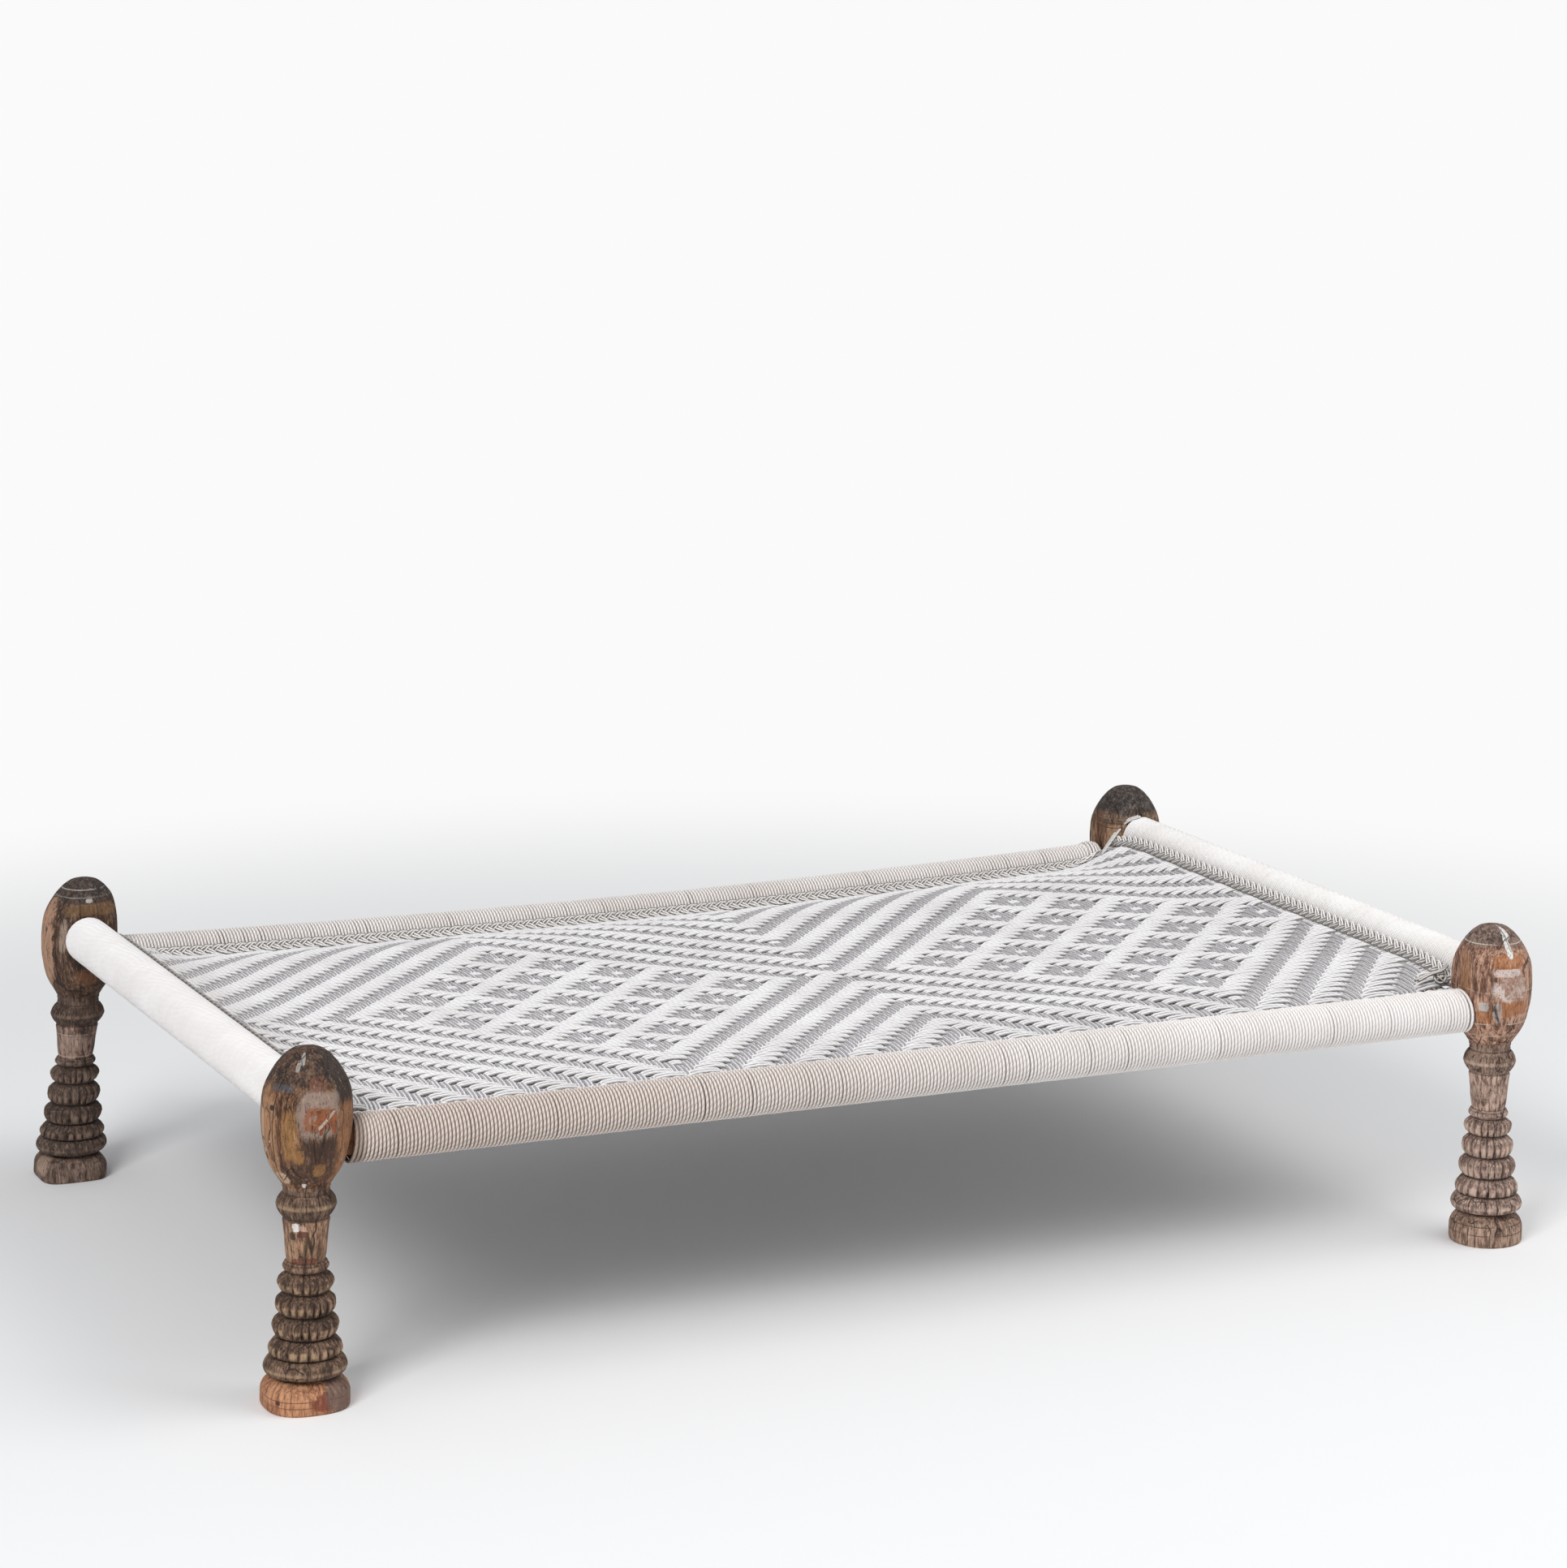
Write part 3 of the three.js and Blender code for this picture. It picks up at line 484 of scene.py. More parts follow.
def add_cords(name, paths, facings, size, finish, nodes=(), sides=6):
    """One piece made of a cord along each path, of a width and a thickness, which takes the
    place of the nodes."""
    lines = add_piece(name + "_lines", lines_mesh(name, paths, facings))
    modifier = lines.modifiers.new("cord", "NODES")
    modifier.node_group = CORD_TREE
    values = {"Width": size[0], "Thickness": size[1], "Sides": sides, "Material": finish}
    for item in CORD_TREE.interface.items_tree:
        if item.in_out == "INPUT" and item.name in values:
            modifier[item.identifier] = values[item.name]
    lines.update_tag()
    seen = lines.evaluated_get(bpy.context.evaluated_depsgraph_get())
    mesh = bpy.data.meshes.new_from_object(seen)
    mesh.name = name
    bpy.data.objects.remove(lines)
    dress(add_piece(name, mesh), "cotton_cord", *nodes)


# Weave: pairs of cord along the bed and across it. Its columns and rows of crossings are
# counted from where the pattern is mirrored, and they were pulled a little askew

COLUMNS = np.arange(-71, 54)
ROWS = np.arange(-29, 40)
COLUMN_PITCH = 13.1 * MM
ROW_PITCH = 14.16 * MM
MIRROR_X = 75.0 * MM
MIRROR_Y = -68.0 * MM
COLUMN_WIDENING = 0.0112 * MM
ROW_SLOPE = 0.38
ROW_BEND = 0.0086
ROW_SHIFT = -2.0
BOW_REACH = 480.0 * MM
PAIR_SHARE = 0.235
DIAMOND_REACH = 32
ZIGZAG_PERIOD = 6
LOZENGE_REACH = 26
LOZENGE_SPACING = 5
LOZENGES_OUT = 4
LOZENGE_RING = (1, 3)
FLOAT_BOWS = (0.35, 0.95, 1.25)  # with none, one and both of the next crossings on its side
STAY_SHARE = 0.55
WEAVE_LIFT = 2.4 * MM
LIFT_PLAY = 0.07
CORD_PLAY = 0.22 * MM
PLAY_SPREAD = 9
LONG_CORD = (6.2 * MM, 5.2 * MM)
CROSS_CORD = (5.4 * MM, 4.0 * MM)
LONG_CORD_RISE = 0.7 * MM
WEAVE_OVERRUN = 7.0 * MM
WEAVE_EDGE = 0.001
WEAVE_PARTS = "abc"


def column_places():
    return MIRROR_X + COLUMN_PITCH * COLUMNS + COLUMN_WIDENING * COLUMNS**2


def row_places():
    """Places of the rows at every column: they bow in the bed's middle."""
    straight = MIRROR_Y + ROW_PITCH * ROWS
    bow = (ROW_SLOPE * COLUMNS + ROW_BEND * COLUMNS**2 + ROW_SHIFT) * MM
    share = 1 - clamp(np.abs(straight) / BOW_REACH, 0.0, 1.0) ** 3
    return straight[None, :] + bow[:, None] * share[None, :]


def cross_on_top(column, row):
    """True where the pair across the bed lies over the pair along it: in rings round the
    middles of the lozenges, and outside them in zigzag bands."""
    column, row = np.broadcast_arrays(np.abs(column) - DIAMOND_REACH, row)
    distance = np.abs(column) + np.abs(row)
    nearest = distance
    for a in range(-LOZENGES_OUT, LOZENGES_OUT + 1):
        for b in range(-LOZENGES_OUT, LOZENGES_OUT + 1):
            if (a + b) % 2 == 0 and abs(a) + abs(b) <= LOZENGES_OUT:
                here = np.abs(column - LOZENGE_SPACING * a) + np.abs(row - LOZENGE_SPACING * b)
                nearest = np.minimum(nearest, here)
    lozenges = (nearest >= LOZENGE_RING[0]) & (nearest <= LOZENGE_RING[1])
    return np.where(distance <= LOZENGE_REACH, lozenges, distance % ZIGZAG_PERIOD >= ZIGZAG_PERIOD / 2)


def wander(count, size, spread):
    """A smooth random walk about zero."""
    knots = random.normal(0.0, size, count // spread + 3)
    return np.interp(np.arange(count) / spread, np.arange(len(knots)), knots)


def float_heights(on_top):
    """Height of a cord at each crossing: it bows most in the middle of a long float."""
    level = np.where(on_top, 1.0, -1.0)
    padded = np.pad(level, 1, mode="edge")
    same = (padded[:-2] == level).astype(int) + (padded[2:] == level)
    return level * np.array(FLOAT_BOWS)[same]


def between(rises, upwards):
    """Heights halfway between crossings: the cords along the bed stay up for longer."""
    pairs = np.stack([rises[:-1], rises[1:]])
    return (1 - STAY_SHARE) * pairs.mean(0) + STAY_SHARE * (pairs.max(0) if upwards else pairs.min(0))


def corner_reach(*titles):
    """Distance of the bed's edge from the legs' axes, on average over some rails."""
    rails = [RAILS[title] for title in titles]
    return sum(wrap_reach(rail, meets_above(rail)) + BRAID_WIDTH + CLEARANCE for rail in rails) / len(rails)


def weave_paths(along_bed):
    """Paths of all the cords that run one way."""
    xs, ys = column_places(), row_places()
    on_top = cross_on_top(COLUMNS[:, None], ROWS[None, :])
    length = LEG_SPACING[0] / 2 - corner_reach("left", "right")
    width = LEG_SPACING[1] / 2 - corner_reach("front", "back")
    reach = (length if along_bed else width) + WEAVE_OVERRUN
    if along_bed:
        lines = [(xs, ys[:, k], ~on_top[:, k], ROW_PITCH) for k in range(len(ROWS))]
    else:
        pitches = np.gradient(xs)
        lines = [(ys[k], np.full(len(ROWS), xs[k]), on_top[k], pitches[k])
                 for k in range(len(COLUMNS))]
    paths = []
    for stations, middles, over, pitch in lines:
        stops = np.concatenate([[-reach], stations, [reach]])
        rises = np.concatenate([[0.0], float_heights(over) * WEAVE_LIFT, [0.0]])
        steps = np.sort(np.concatenate([stops, (stops[:-1] + stops[1:]) / 2]))
        lifts = np.empty(len(steps))
        lifts[::2], lifts[1::2] = rises, between(rises, along_bed)
        for side in (-1, 1):
            spread = side * PAIR_SHARE * pitch + wander(len(steps), CORD_PLAY, PLAY_SPREAD)
            across = np.interp(steps, stations, middles) + spread
            x, y = (steps, across) if along_bed else (across, steps)
            shares = [(x / length + 1) / 2, (y / width + 1) / 2]
            shares[along_bed] = clamp(shares[along_bed], WEAVE_EDGE, 1 - WEAVE_EDGE)
            place = bed_place(*shares)
            place[:, 2] += lifts * (1 + random.normal(0.0, LIFT_PLAY, len(lifts)))
            place[:, 2] += LONG_CORD_RISE if along_bed else -LONG_CORD_RISE
            paths.append(place)
    return paths


def shade_by_left_rail(finish, base, place):
    """Painted shade: the weave is a little duller close to the left rail."""
    near = finish.ramp(finish.axes(place)[0], -0.70, -0.82)
    return finish.mix(near * 0.35, base, (176, 170, 163))


def add_weave():
    """Each way's cords are in three pieces, so that none is too large for the export."""
    # The last colour of each look is painted shade on the cords' sides and in their ply grooves
    looks = {
        "along": (LONG_CORD, (244, 242, 242), (230, 227, 227), (112, 105, 102)),
        "across": (CROSS_CORD, (250, 248, 250), (240, 237, 239), (112, 106, 105)),
    }
    for way, (size, pale, dull, shade_tint) in looks.items():
        finish = cord_finish(f"cord_{way}_bed", pale, dull, shade_tint, 0.6, dirt_and_shade=shade_by_left_rail)
        paths = weave_paths(way == "along")
        for part, chosen in zip(WEAVE_PARTS, np.array_split(np.arange(len(paths)), len(WEAVE_PARTS))):
            some = [paths[k] for k in chosen]
            facings = one_way(some, UPWARDS)
            add_cords(f"weave_{way}_{part}", some, facings, size, finish, ["woven_bed"])


add_weave()


# Windings: each rail's cord from the one leg's egg to the other's, in close turns

# Distance from the bed's corner to a rail's last turn, at its top and at its underside: the
# turns lean, because they lie against the egg
LAST_TURN = (51.2 * MM, 48.8 * MM)
LAST_TURN_FRONT_LEFT = (50.2 * MM, 39.5 * MM)
LEANING_REACH = 45.0 * MM
STEPS_PER_TURN = 24
TURN_SPACING = CORD * 1.01
SLACK = (0.10, 0.26)
SLACK_MARGIN = 6
WINDING_PLAY = 0.004
RAISED_TURNS = 5
RAISED_DISTANCE = 54.0 * MM
RAISED_LEAN = 2.5 * MM
RAISED_SPACING = CORD * 1.1
RAISED_HEIGHT = CORD * 0.7
# Painted shade: the brown that darkens the windings' sides and ply grooves, between the turns
BROWN_SIDE_SHADE = (132, 112, 99)


def turning(count):
    """Steps of a winding, counted in turns, and their angles from the rail's underside."""
    steps = np.arange(0, count * STEPS_PER_TURN + 1) / STEPS_PER_TURN
    return steps, 2 * math.pi * steps - math.pi / 2


def round_rail(rail, along, radius, angles):
    """A path round a rail and the way that it faces."""
    path = rail.place(along, radius * np.cos(angles), radius * np.sin(angles))
    return path, rail.direction(np.cos(angles), np.sin(angles))


def winding(rail, end_turns, slack_turns):
    """A rail's cord: close turns with a little play. end_turns gives how far apart the turns
    at both ends are, as shares of the rest's."""
    ends = [LAST_TURN_FRONT_LEFT if rail.title == "front" else LAST_TURN, LAST_TURN]
    first, last = (rail.span / 2 - (top + bottom) / 2 for top, bottom in ends)
    leans = [(top - bottom) / 2 for top, bottom in ends]
    gaps = np.full(int((first + last) / TURN_SPACING), 1.0)
    middle = np.arange(SLACK_MARGIN, len(gaps) - SLACK_MARGIN)
    gaps[random.choice(middle, slack_turns, replace=False)] += random.uniform(*SLACK, slack_turns)
    gaps[:len(end_turns[0])] = end_turns[0]
    gaps[len(gaps) - len(end_turns[1]):] = end_turns[1][::-1]
    along = np.concatenate([[0.0], np.cumsum(gaps)])
    along = -first + along * ((first + last) / along[-1])
    steps, angles = turning(len(gaps))
    along = np.interp(steps, np.arange(len(along)), along)
    along += leans[0] * np.sin(angles) * clamp(1 - (along + first) / LEANING_REACH, 0.0, 1.0)
    along -= leans[1] * np.sin(angles) * clamp(1 - (last - along) / LEANING_REACH, 0.0, 1.0)
    radius = rail.turn_radius * (1 + wander(len(steps), WINDING_PLAY, STEPS_PER_TURN * 3))
    return round_rail(rail, along, radius, angles)


def raised_turns(rail):
    """A few turns laid over a rail's winding at its far end, leaning from top to bottom."""
    steps, angles = turning(RAISED_TURNS)
    along = rail.span / 2 - RAISED_DISTANCE - RAISED_SPACING * steps + RAISED_LEAN * np.sin(angles)
    share = clamp(steps / RAISED_TURNS, 0.05, 0.95)
    return round_rail(rail, along, rail.turn_radius + RAISED_HEIGHT * np.sin(math.pi * share), angles)


def soiled_front(finish, base, place):
    """The front rail's cord is browner towards its left end."""
    x = finish.axes(place)[0]
    grubby = finish.ramp(x, 0.45, -0.85) * 0.8
    last = finish.ramp(x, -0.788, -0.80) * 0.7
    base = finish.mix(grubby, base, (220, 203, 191))
    return finish.mix(last, base, (132, 110, 94))


# Painted light: the painted shade of the front rail's cord weakens towards its right end, so that it looks
# more lit there
def fading_right(finish, place):
    return finish.ramp(finish.axes(place)[0], 0.85, -0.65) * 0.72 + 0.28


def add_windings():
    # The last two numbers of a plan give how strong the painted shade is in the ply grooves and on the
    # sides
    plans = {
        "front": (((1.2, 1.1, 1.1, 1.0), (1.5, 1.0)), 16, (252, 248, 246), (240, 234, 230), 0.5, 0.85),
        "back": (((1.1,), (1.1,)), 20, (250, 246, 243), (238, 232, 227), 0.4, 0.6),
        "left": (((1.0,), (1.1,)), 4, (246, 243, 242), (235, 231, 228), 0.08, 0.12),
        "right": (((1.1,), (1.1,)), 14, (248, 246, 244), (234, 230, 226), 0.12, 0.22),
    }
    for title, (end_turns, slack_turns, pale, dull, ply_shade, side_shade_strength) in plans.items():
        rail = RAILS[title]
        turns = [winding(rail, end_turns, slack_turns)]
        if title == "back":
            turns.append(raised_turns(rail))
        changes = {"dirt_and_shade": soiled_front, "shade_fade": fading_right} if title == "front" else {}
        tints = pale, dull, BROWN_SIDE_SHADE
        finish = cord_finish(f"cord_{title}_rail", *tints, side_shade_strength, ply_shade, **changes)
        nodes = [f"cord_wrap_{title}_rail"]
        nodes += [f"end_turns_{title}_rail_{leg}" for leg in rail.leg_names]
        add_cords(f"winding_{title}_rail", *zip(*turns), (CORD, CORD), finish, nodes)


add_windings()


# Plaited edges between the weave and the rails: each leans on its rail's inner face, and a
# row of holes is left between it and the weave

BRAID_LAY = 50.0 * MM
BRAID_STEPS = 24
BRAID_CORD = 4.3 * MM
BRAID_SIZE = (BRAID_CORD, BRAID_CORD * 0.9)
BRAID_OVERRUN = 0.004
BRAID_HOLES = 4.5 * MM
BRAID_FOOT_RISE = 1.5 * MM
BRAID_TOP_GAP = 1.0 * MM
BRAID_CLIMB = 22.0 * MM
BACK_BRAID_CLIMB = 24.0 * MM
BRAID_TOP_SHARE = 0.5
STRANDS = 3
STRAND_MARGIN = BRAID_CORD * 0.8
STRAND_LIFT = (0.4, 0.45)  # mean and swing, as shares of the cord
PLY_SPREAD = BRAID_CORD * 0.65
PLY_SHIFT = BRAID_CORD * 0.95


def braid_paths(rail):
    first, last = edge_along(rail, -BRAID_OVERRUN), edge_along(rail, 1 + BRAID_OVERRUN)
    count = int((last - first) / BRAID_LAY * BRAID_STEPS)
    along = np.linspace(first, last, count)
    phase = 2 * math.pi * (along - first) / BRAID_LAY
    rise = edge_rise(rail, along)
    foot_across = wrap_reach(rail, rise) + BRAID_WIDTH - BRAID_HOLES
    climb = BRAID_CLIMB
    if rail.title == "back":
        rise = rise - back_dip(along)
        climb = BACK_BRAID_CLIMB
    foot = np.stack([foot_across, rise + BRAID_FOOT_RISE])
    top_rise = np.minimum(rise + climb, rail.wrap_radius * BRAID_TOP_SHARE)
    top_reach = rail.wrap_radius + BRAID_CORD / 2 + BRAID_TOP_GAP
    top = np.stack([np.sqrt(top_reach**2 - top_rise**2), top_rise])
    width = np.hypot(*(top - foot))
    way = (top - foot) / width
    out = np.stack([way[1], -way[0]])
    paths, facings = [], []
    for strand in range(STRANDS):
        turn = phase + 2 * math.pi * strand / STRANDS
        sideways = (width / 2 - STRAND_MARGIN) * np.sin(turn)
        lift = BRAID_CORD * (STRAND_LIFT[1] * np.sin(2 * turn) + STRAND_LIFT[0])
        slope = np.cos(turn)
        for ply in (-0.5, 0.5):
            share = width / 2 + sideways + ply * PLY_SPREAD * np.abs(slope)
            shift = -ply * PLY_SHIFT * slope
            across, height = foot + way * share + out * lift
            paths.append(rail.place(along + shift, rail.inward * across, height))
            facings.append(rail.direction(rail.inward * out[0], out[1]))
    return paths, facings


def add_braids():
    # The third colour is painted shade on the plaits' sides and ply grooves
    finish = cord_finish("cord_braid", (255, 252, 249), (248, 243, 238), (84, 74, 68), 0.8)
    for title, rail in RAILS.items():
        add_cords(f"braid_{title}", *braid_paths(rail), BRAID_SIZE, finish, [f"edge_braid_{title}"])


add_braids()


# Legs, turned and carved

# Height and radius of the turning in millimetres, from the floor to the egg
LEG_OUTLINE = [
    (0, 52), (1, 53.2), (3, 54), (12, 54), (21, 53.9), (25, 52.8), (29, 50.8),
    (33, 47.2), (36.4, 42.2), (39, 38), (40.6, 36), (41.4, 38.5), (42.2, 44.5), (43.4, 48.6),
    (45.6, 51.2), (50.4, 53), (55.1, 51.9), (59.4, 49.4), (63.4, 45.4), (65.2, 41.5), (66, 39.4),
    (66.6, 41.5), (67.8, 45.3), (70, 46.6), (73.1, 47), (77.3, 46.2), (80.5, 44.4), (84.7, 40.3),
    (88.2, 35.6), (89.6, 31.6), (90.2, 32.6), (91.2, 36.4), (93, 38.6), (95.2, 39.8), (99, 41.6),
    (103.1, 42.5), (108.9, 41.5), (113.1, 37.8), (116.4, 32.2), (117.5, 28.6), (118.3, 29.4),
    (119.6, 33), (124.6, 36.9), (130.9, 38.5), (137.2, 37.5), (141.4, 33.2), (144.6, 27.8),
    (145.8, 24.8), (146.7, 25.6), (148, 29), (150.9, 32.7), (156.1, 35.3), (159.8, 36),
    (163.5, 35.1), (167.6, 31.2), (171.2, 25), (172.4, 22.6), (173.4, 23.6), (174.6, 26.2),
    (177.2, 28.7), (180.2, 29.4), (182, 28.6), (182.9, 26.8), (183.9, 27.6), (185.2, 27),
    (186.2, 24.2), (187.5, 24.1), (195, 25.3), (203, 26.3), (219, 27.3), (231, 28.6),
    (236.6, 29.3), (237.6, 29.8), (240.8, 29.6), (242, 28), (243.2, 29), (245.5, 31.2),
    (248, 33.1), (252, 35.5), (258.2, 38), (259.6, 38.2), (261.4, 37.5), (265.7, 36.4),
    (271, 33), (273.8, 29.6), (274.8, 28.2), (275.8, 29.6), (277.4, 29.8), (278.6, 28.4),
    (279.4, 28.4), (280.6, 29.8), (282.8, 30.2), (284.4, 29.4), (285, 29.8),
]
EGG_SHARES = [
    (0.0, 0.523), (0.009, 0.55), (0.039, 0.607), (0.069, 0.668), (0.099, 0.729), (0.159, 0.822),
    (0.219, 0.883), (0.278, 0.922), (0.338, 0.961), (0.398, 0.983), (0.458, 0.994), (0.517, 1.0),
    (0.577, 0.994), (0.637, 0.983), (0.696, 0.952), (0.756, 0.887), (0.815, 0.795), (0.875, 0.682),
    (0.934, 0.53), (0.964, 0.417), (0.981, 0.338), (0.993, 0.21), (1.0, 0.05),
]
EGG_RADIUS = 57.0
EGG_BOTTOM = 285.0
EGG_HEIGHT = 173.0
CARVED_HEIGHT = 174.0
FINE_STEP = 1.6
COARSE_STEP = 1.9
SOFTENING = (0.14, 0.72, 0.14)
FOOT_CUTS = 42
RIM_NICKS = 33
LOBED_DISCS = ((66.2, 89.6), (90, 117.5), (118, 145.8), (146.4, 172.4))
LOBES = 20
LOBE_DEPTH = 4.4
NOTCH_DEPTH = 2.2
CUT_DEPTH = 0.9
COLLAR_FLUTES = 25
FLUTE_DEPTH = 0.8
COLLAR_RIDGE = 259.6
GROOVES = ((172.8, 1.6), (182.9, 0.7), (186.8, 1.4), (242.2, 1.6), (274.6, 1.0), (279.0, 0.9))
LEG_COLUMNS = 200

# Every leg was turned by eye: heights on the front left leg and on each leg, and its girths,
# as shares of the front left leg's, at the foot, the discs, the barrel and the egg
LEVELS = (0, 40.6, 67.9, 94.4, 122.7, 149.9, 178.5, 245.7, 263.9, 275.3, 291.4, 458)
LEG_LEVELS = {
    "front_left": LEVELS,
    "front_right": (0, 44, 70.9, 98.8, 127.7, 156.8, 182.8, 246.3, 263.6, 276.5, 292.6, 453),
    "back_left": (0, 37.1, 63.7, 87.9, 116.4, 146, 172.6, 232.7, 249.3, 261.7, 280.3, 445),
    "back_right": (0, 39.4, 66, 91.7, 119.2, 145.6, 173.4, 238.7, 256.4, 267.5, 283.1, 445),
}
LEG_GIRTHS = {
    "front_left": (1.0, 1.0, 1.0, 1.0),
    "front_right": (0.944, 0.94, 0.96, 0.98),
    "back_left": (0.895, 1.0, 1.02, 1.0),
    "back_right": (0.963, 0.98, 0.99, 0.985),
}
FOOT_POWERS = {"front_left": 2.6, "back_left": 4.0, "front_right": 2.0, "back_right": 2.4}


def leg_outline():
    """Heights and radii of the fine turning, in millimetres."""
    egg = [(EGG_BOTTOM + share * EGG_HEIGHT, radius * EGG_RADIUS) for share, radius in EGG_SHARES]
    rough = np.array(LEG_OUTLINE[:-1] + egg)
    steps = np.concatenate([[0.0], np.cumsum(np.hypot(*np.diff(rough, axis=0).T))])
    carved = np.arange(0.0, np.interp(CARVED_HEIGHT, rough[:, 0], steps), FINE_STEP)
    rest = np.arange(carved[-1] + FINE_STEP, steps[-1], COARSE_STEP)
    fine = np.concatenate([carved, rest, steps[-1:]])
    heights, radii = (np.interp(fine, steps, rough[:, k]) for k in (0, 1))
    return heights, np.convolve(np.pad(radii, 1, mode="edge"), SOFTENING, mode="valid")


def band(values, start, full, ending, end):
    """0 up to start, 1 from full to ending, and 0 again from end on."""
    return smooth(values, start, full) * smooth(values, end, ending)


def rounded_square(angle, power):
    return (np.abs(np.cos(angle)) ** power + np.abs(np.sin(angle)) ** power) ** (-1 / power)


def carve(heights, radii, angle, name):
    """Radius of every point of a leg, how much dark grime and painted shade it takes in its
    hollows, and how much it is worn pale and painted with a highlight where it stands out. A
    level is in millimetres above the floor, and a share runs from a disc's underside to its top."""
    chance = np.random.default_rng(sum(map(ord, name)))
    level = heights[:, None]
    angle = angle[None, :]
    shape = np.repeat(radii[:, None], angle.shape[1], axis=1)
    grime_and_shade, worn_and_highlit = np.zeros_like(shape), np.zeros_like(shape)

    shape *= np.interp(level, (30.0, 60.0, 165.0, 200.0, 260.0, 300.0),
                       np.array(LEG_GIRTHS[name])[[0, 1, 1, 2, 2, 3]])
    foot = smooth(level, 41.0, 36.0)
    shape *= 1 + (rounded_square(angle, FOOT_POWERS[name]) - 1) * foot

    # The foot's slope has fine cuts, some of them deeper
    slope = band(level, 20.5, 24.0, 36.0, 39.5)
    slant = angle + (level - 30.0) * 0.004
    saw = np.abs(np.cos(slant * FOOT_CUTS / 2 + 0.6 * np.sin(3 * angle + chance.uniform(0, 6)))) ** 14
    some = 0.35 + 0.65 * chance.random(angle.shape[1])[None, :].round()
    shape -= CUT_DEPTH * saw * slope * some
    grime_and_shade += 0.75 * saw * slope * some
    # Painted shadow under the rim, on the top of the foot
    grime_and_shade += 0.9 * band(level, 37.5, 40.0, 42.0, 43.6)

    # The rim above it is nicked
    rim = band(level, 42.5, 44.0, 63.4, 65.4)
    nicks = np.abs(np.cos(angle * RIM_NICKS)) ** 6
    edge = 1 - smooth(np.abs(level - 51.0), 3.0, 1.2)
    shape -= 0.8 * nicks * rim * edge
    grime_and_shade += 0.5 * nicks * rim * edge
    # Worn pale and painted highlight on the rim's face
    worn_and_highlit += 0.8 * rim * (1 - edge)

    # The discs are carved into lobes, with a notch and a fine cut between two of them
    for low, high in LOBED_DISCS:
        share = (level - low) / (high - low)
        inside = band(share, 0.0, 0.08, 0.92, 1.0)
        start = chance.uniform(0, 2 * math.pi)
        warp = 0.05 * np.sin(3 * angle + start) + 0.03 * np.sin(7 * angle + 2 * start)
        turn = (angle + warp) * LOBES / 2 + start
        lobe = np.abs(np.cos(turn))
        valley = 1 - lobe**0.85
        depth = LOBE_DEPTH * smooth(share, 0.03, 0.25) * (1 - 0.55 * smooth(share, 0.45, 0.95))
        size = 1 + 0.25 * np.sin(turn / LOBES * 2 * 4 + start)
        shape -= depth * valley * inside * size
        notch = smooth(valley, 0.4, 0.85) * smooth(share, 0.06, 0.14) * smooth(share, 0.44, 0.24)
        shape -= NOTCH_DEPTH * notch
        fine = lobe**60 * smooth(share, 0.5, 0.62) * smooth(share, 0.98, 0.9)
        shape -= CUT_DEPTH * fine
        top = smooth(share, 0.48, 0.66)
        # Grime and painted shade in the valleys, notches and fine cuts, painted shade on each disc's upper
        # part under the disc above, and dark bands where the discs meet
        grime_and_shade += inside * (0.75 * smooth(valley, 0.5, 0.9) + 0.5 * notch + 0.5 * fine + 0.16 * top)
        grime_and_shade += band(share, -0.08, 0.0, 0.0, 0.15) + smooth(share, 0.9, 1.0) * inside
        # Worn pale and painted highlight on the lobes' bulges
        worn_and_highlit += band(share, 0.16, 0.26, 0.46, 0.56) * (1 - smooth(valley, 0.2, 0.6))

    # The collar is fluted on both sides of its ridge
    collar = band(level, 243.0, 246.0, 270.4, 273.4)
    flutes = np.abs(np.cos(angle * COLLAR_FLUTES)) ** 5
    off_ridge = smooth(np.abs(level - COLLAR_RIDGE), 1.6, 3.4)
    shape -= FLUTE_DEPTH * flutes * collar * off_ridge
    grime_and_shade += 0.55 * flutes * collar * off_ridge
    # Worn pale and painted highlight on the collar's ridge
    worn_and_highlit += 0.7 * collar * (1 - off_ridge)
    # Grime and painted shade in the turned grooves
    for groove, half in GROOVES:
        grime_and_shade += 0.8 * smooth(np.abs(level - groove), half, 0.3 * half)

    # The egg is a little uneven
    flat = np.cos(angle * 2 + 0.4) * 0.5 + np.cos(angle * 5 + chance.uniform(0, 6)) * 0.35
    shape += 0.3 * (flat - 0.85) * band(level, 288.0, 330.0, 430.0, 456.0)
    return shape, clamp(grime_and_shade, 0.0, 1.0), clamp(worn_and_highlit, 0.0, 1.0)


def side_signs(name):
    return (-1 if "left" in name else 1, -1 if "front" in name else 1)


def flatten_seats(points, name):
    """Presses the egg flat where the rails butt against it."""
    egg = points[..., 2] > (EGG_BOTTOM + 4) * MM
    for axis, side in enumerate(side_signs(name)):
        seat = SHIFT[axis] + side * LEG_SPACING[axis] / 2 - side * SEAT_DISTANCE
        past = (points[..., axis] - seat) * -side > 0
        points[..., axis] = np.where(egg & past, seat, points[..., axis])


def leg_faces(rows):
    """Quads of a tube of rings, and the triangles that close its two ends."""
    here = np.arange(rows * LEG_COLUMNS).reshape(rows, LEG_COLUMNS)
    ahead = np.roll(here, -1, axis=1)
    quads = np.stack([here[:-1], ahead[:-1], ahead[1:], here[1:]], axis=-1)
    centre = np.full(LEG_COLUMNS, here.size)
    caps = np.stack([ahead[0], here[0], centre, here[-1], ahead[-1], centre + 1], axis=-1)
    return quads.reshape(-1, 4).tolist() + caps.reshape(-1, 3).tolist()


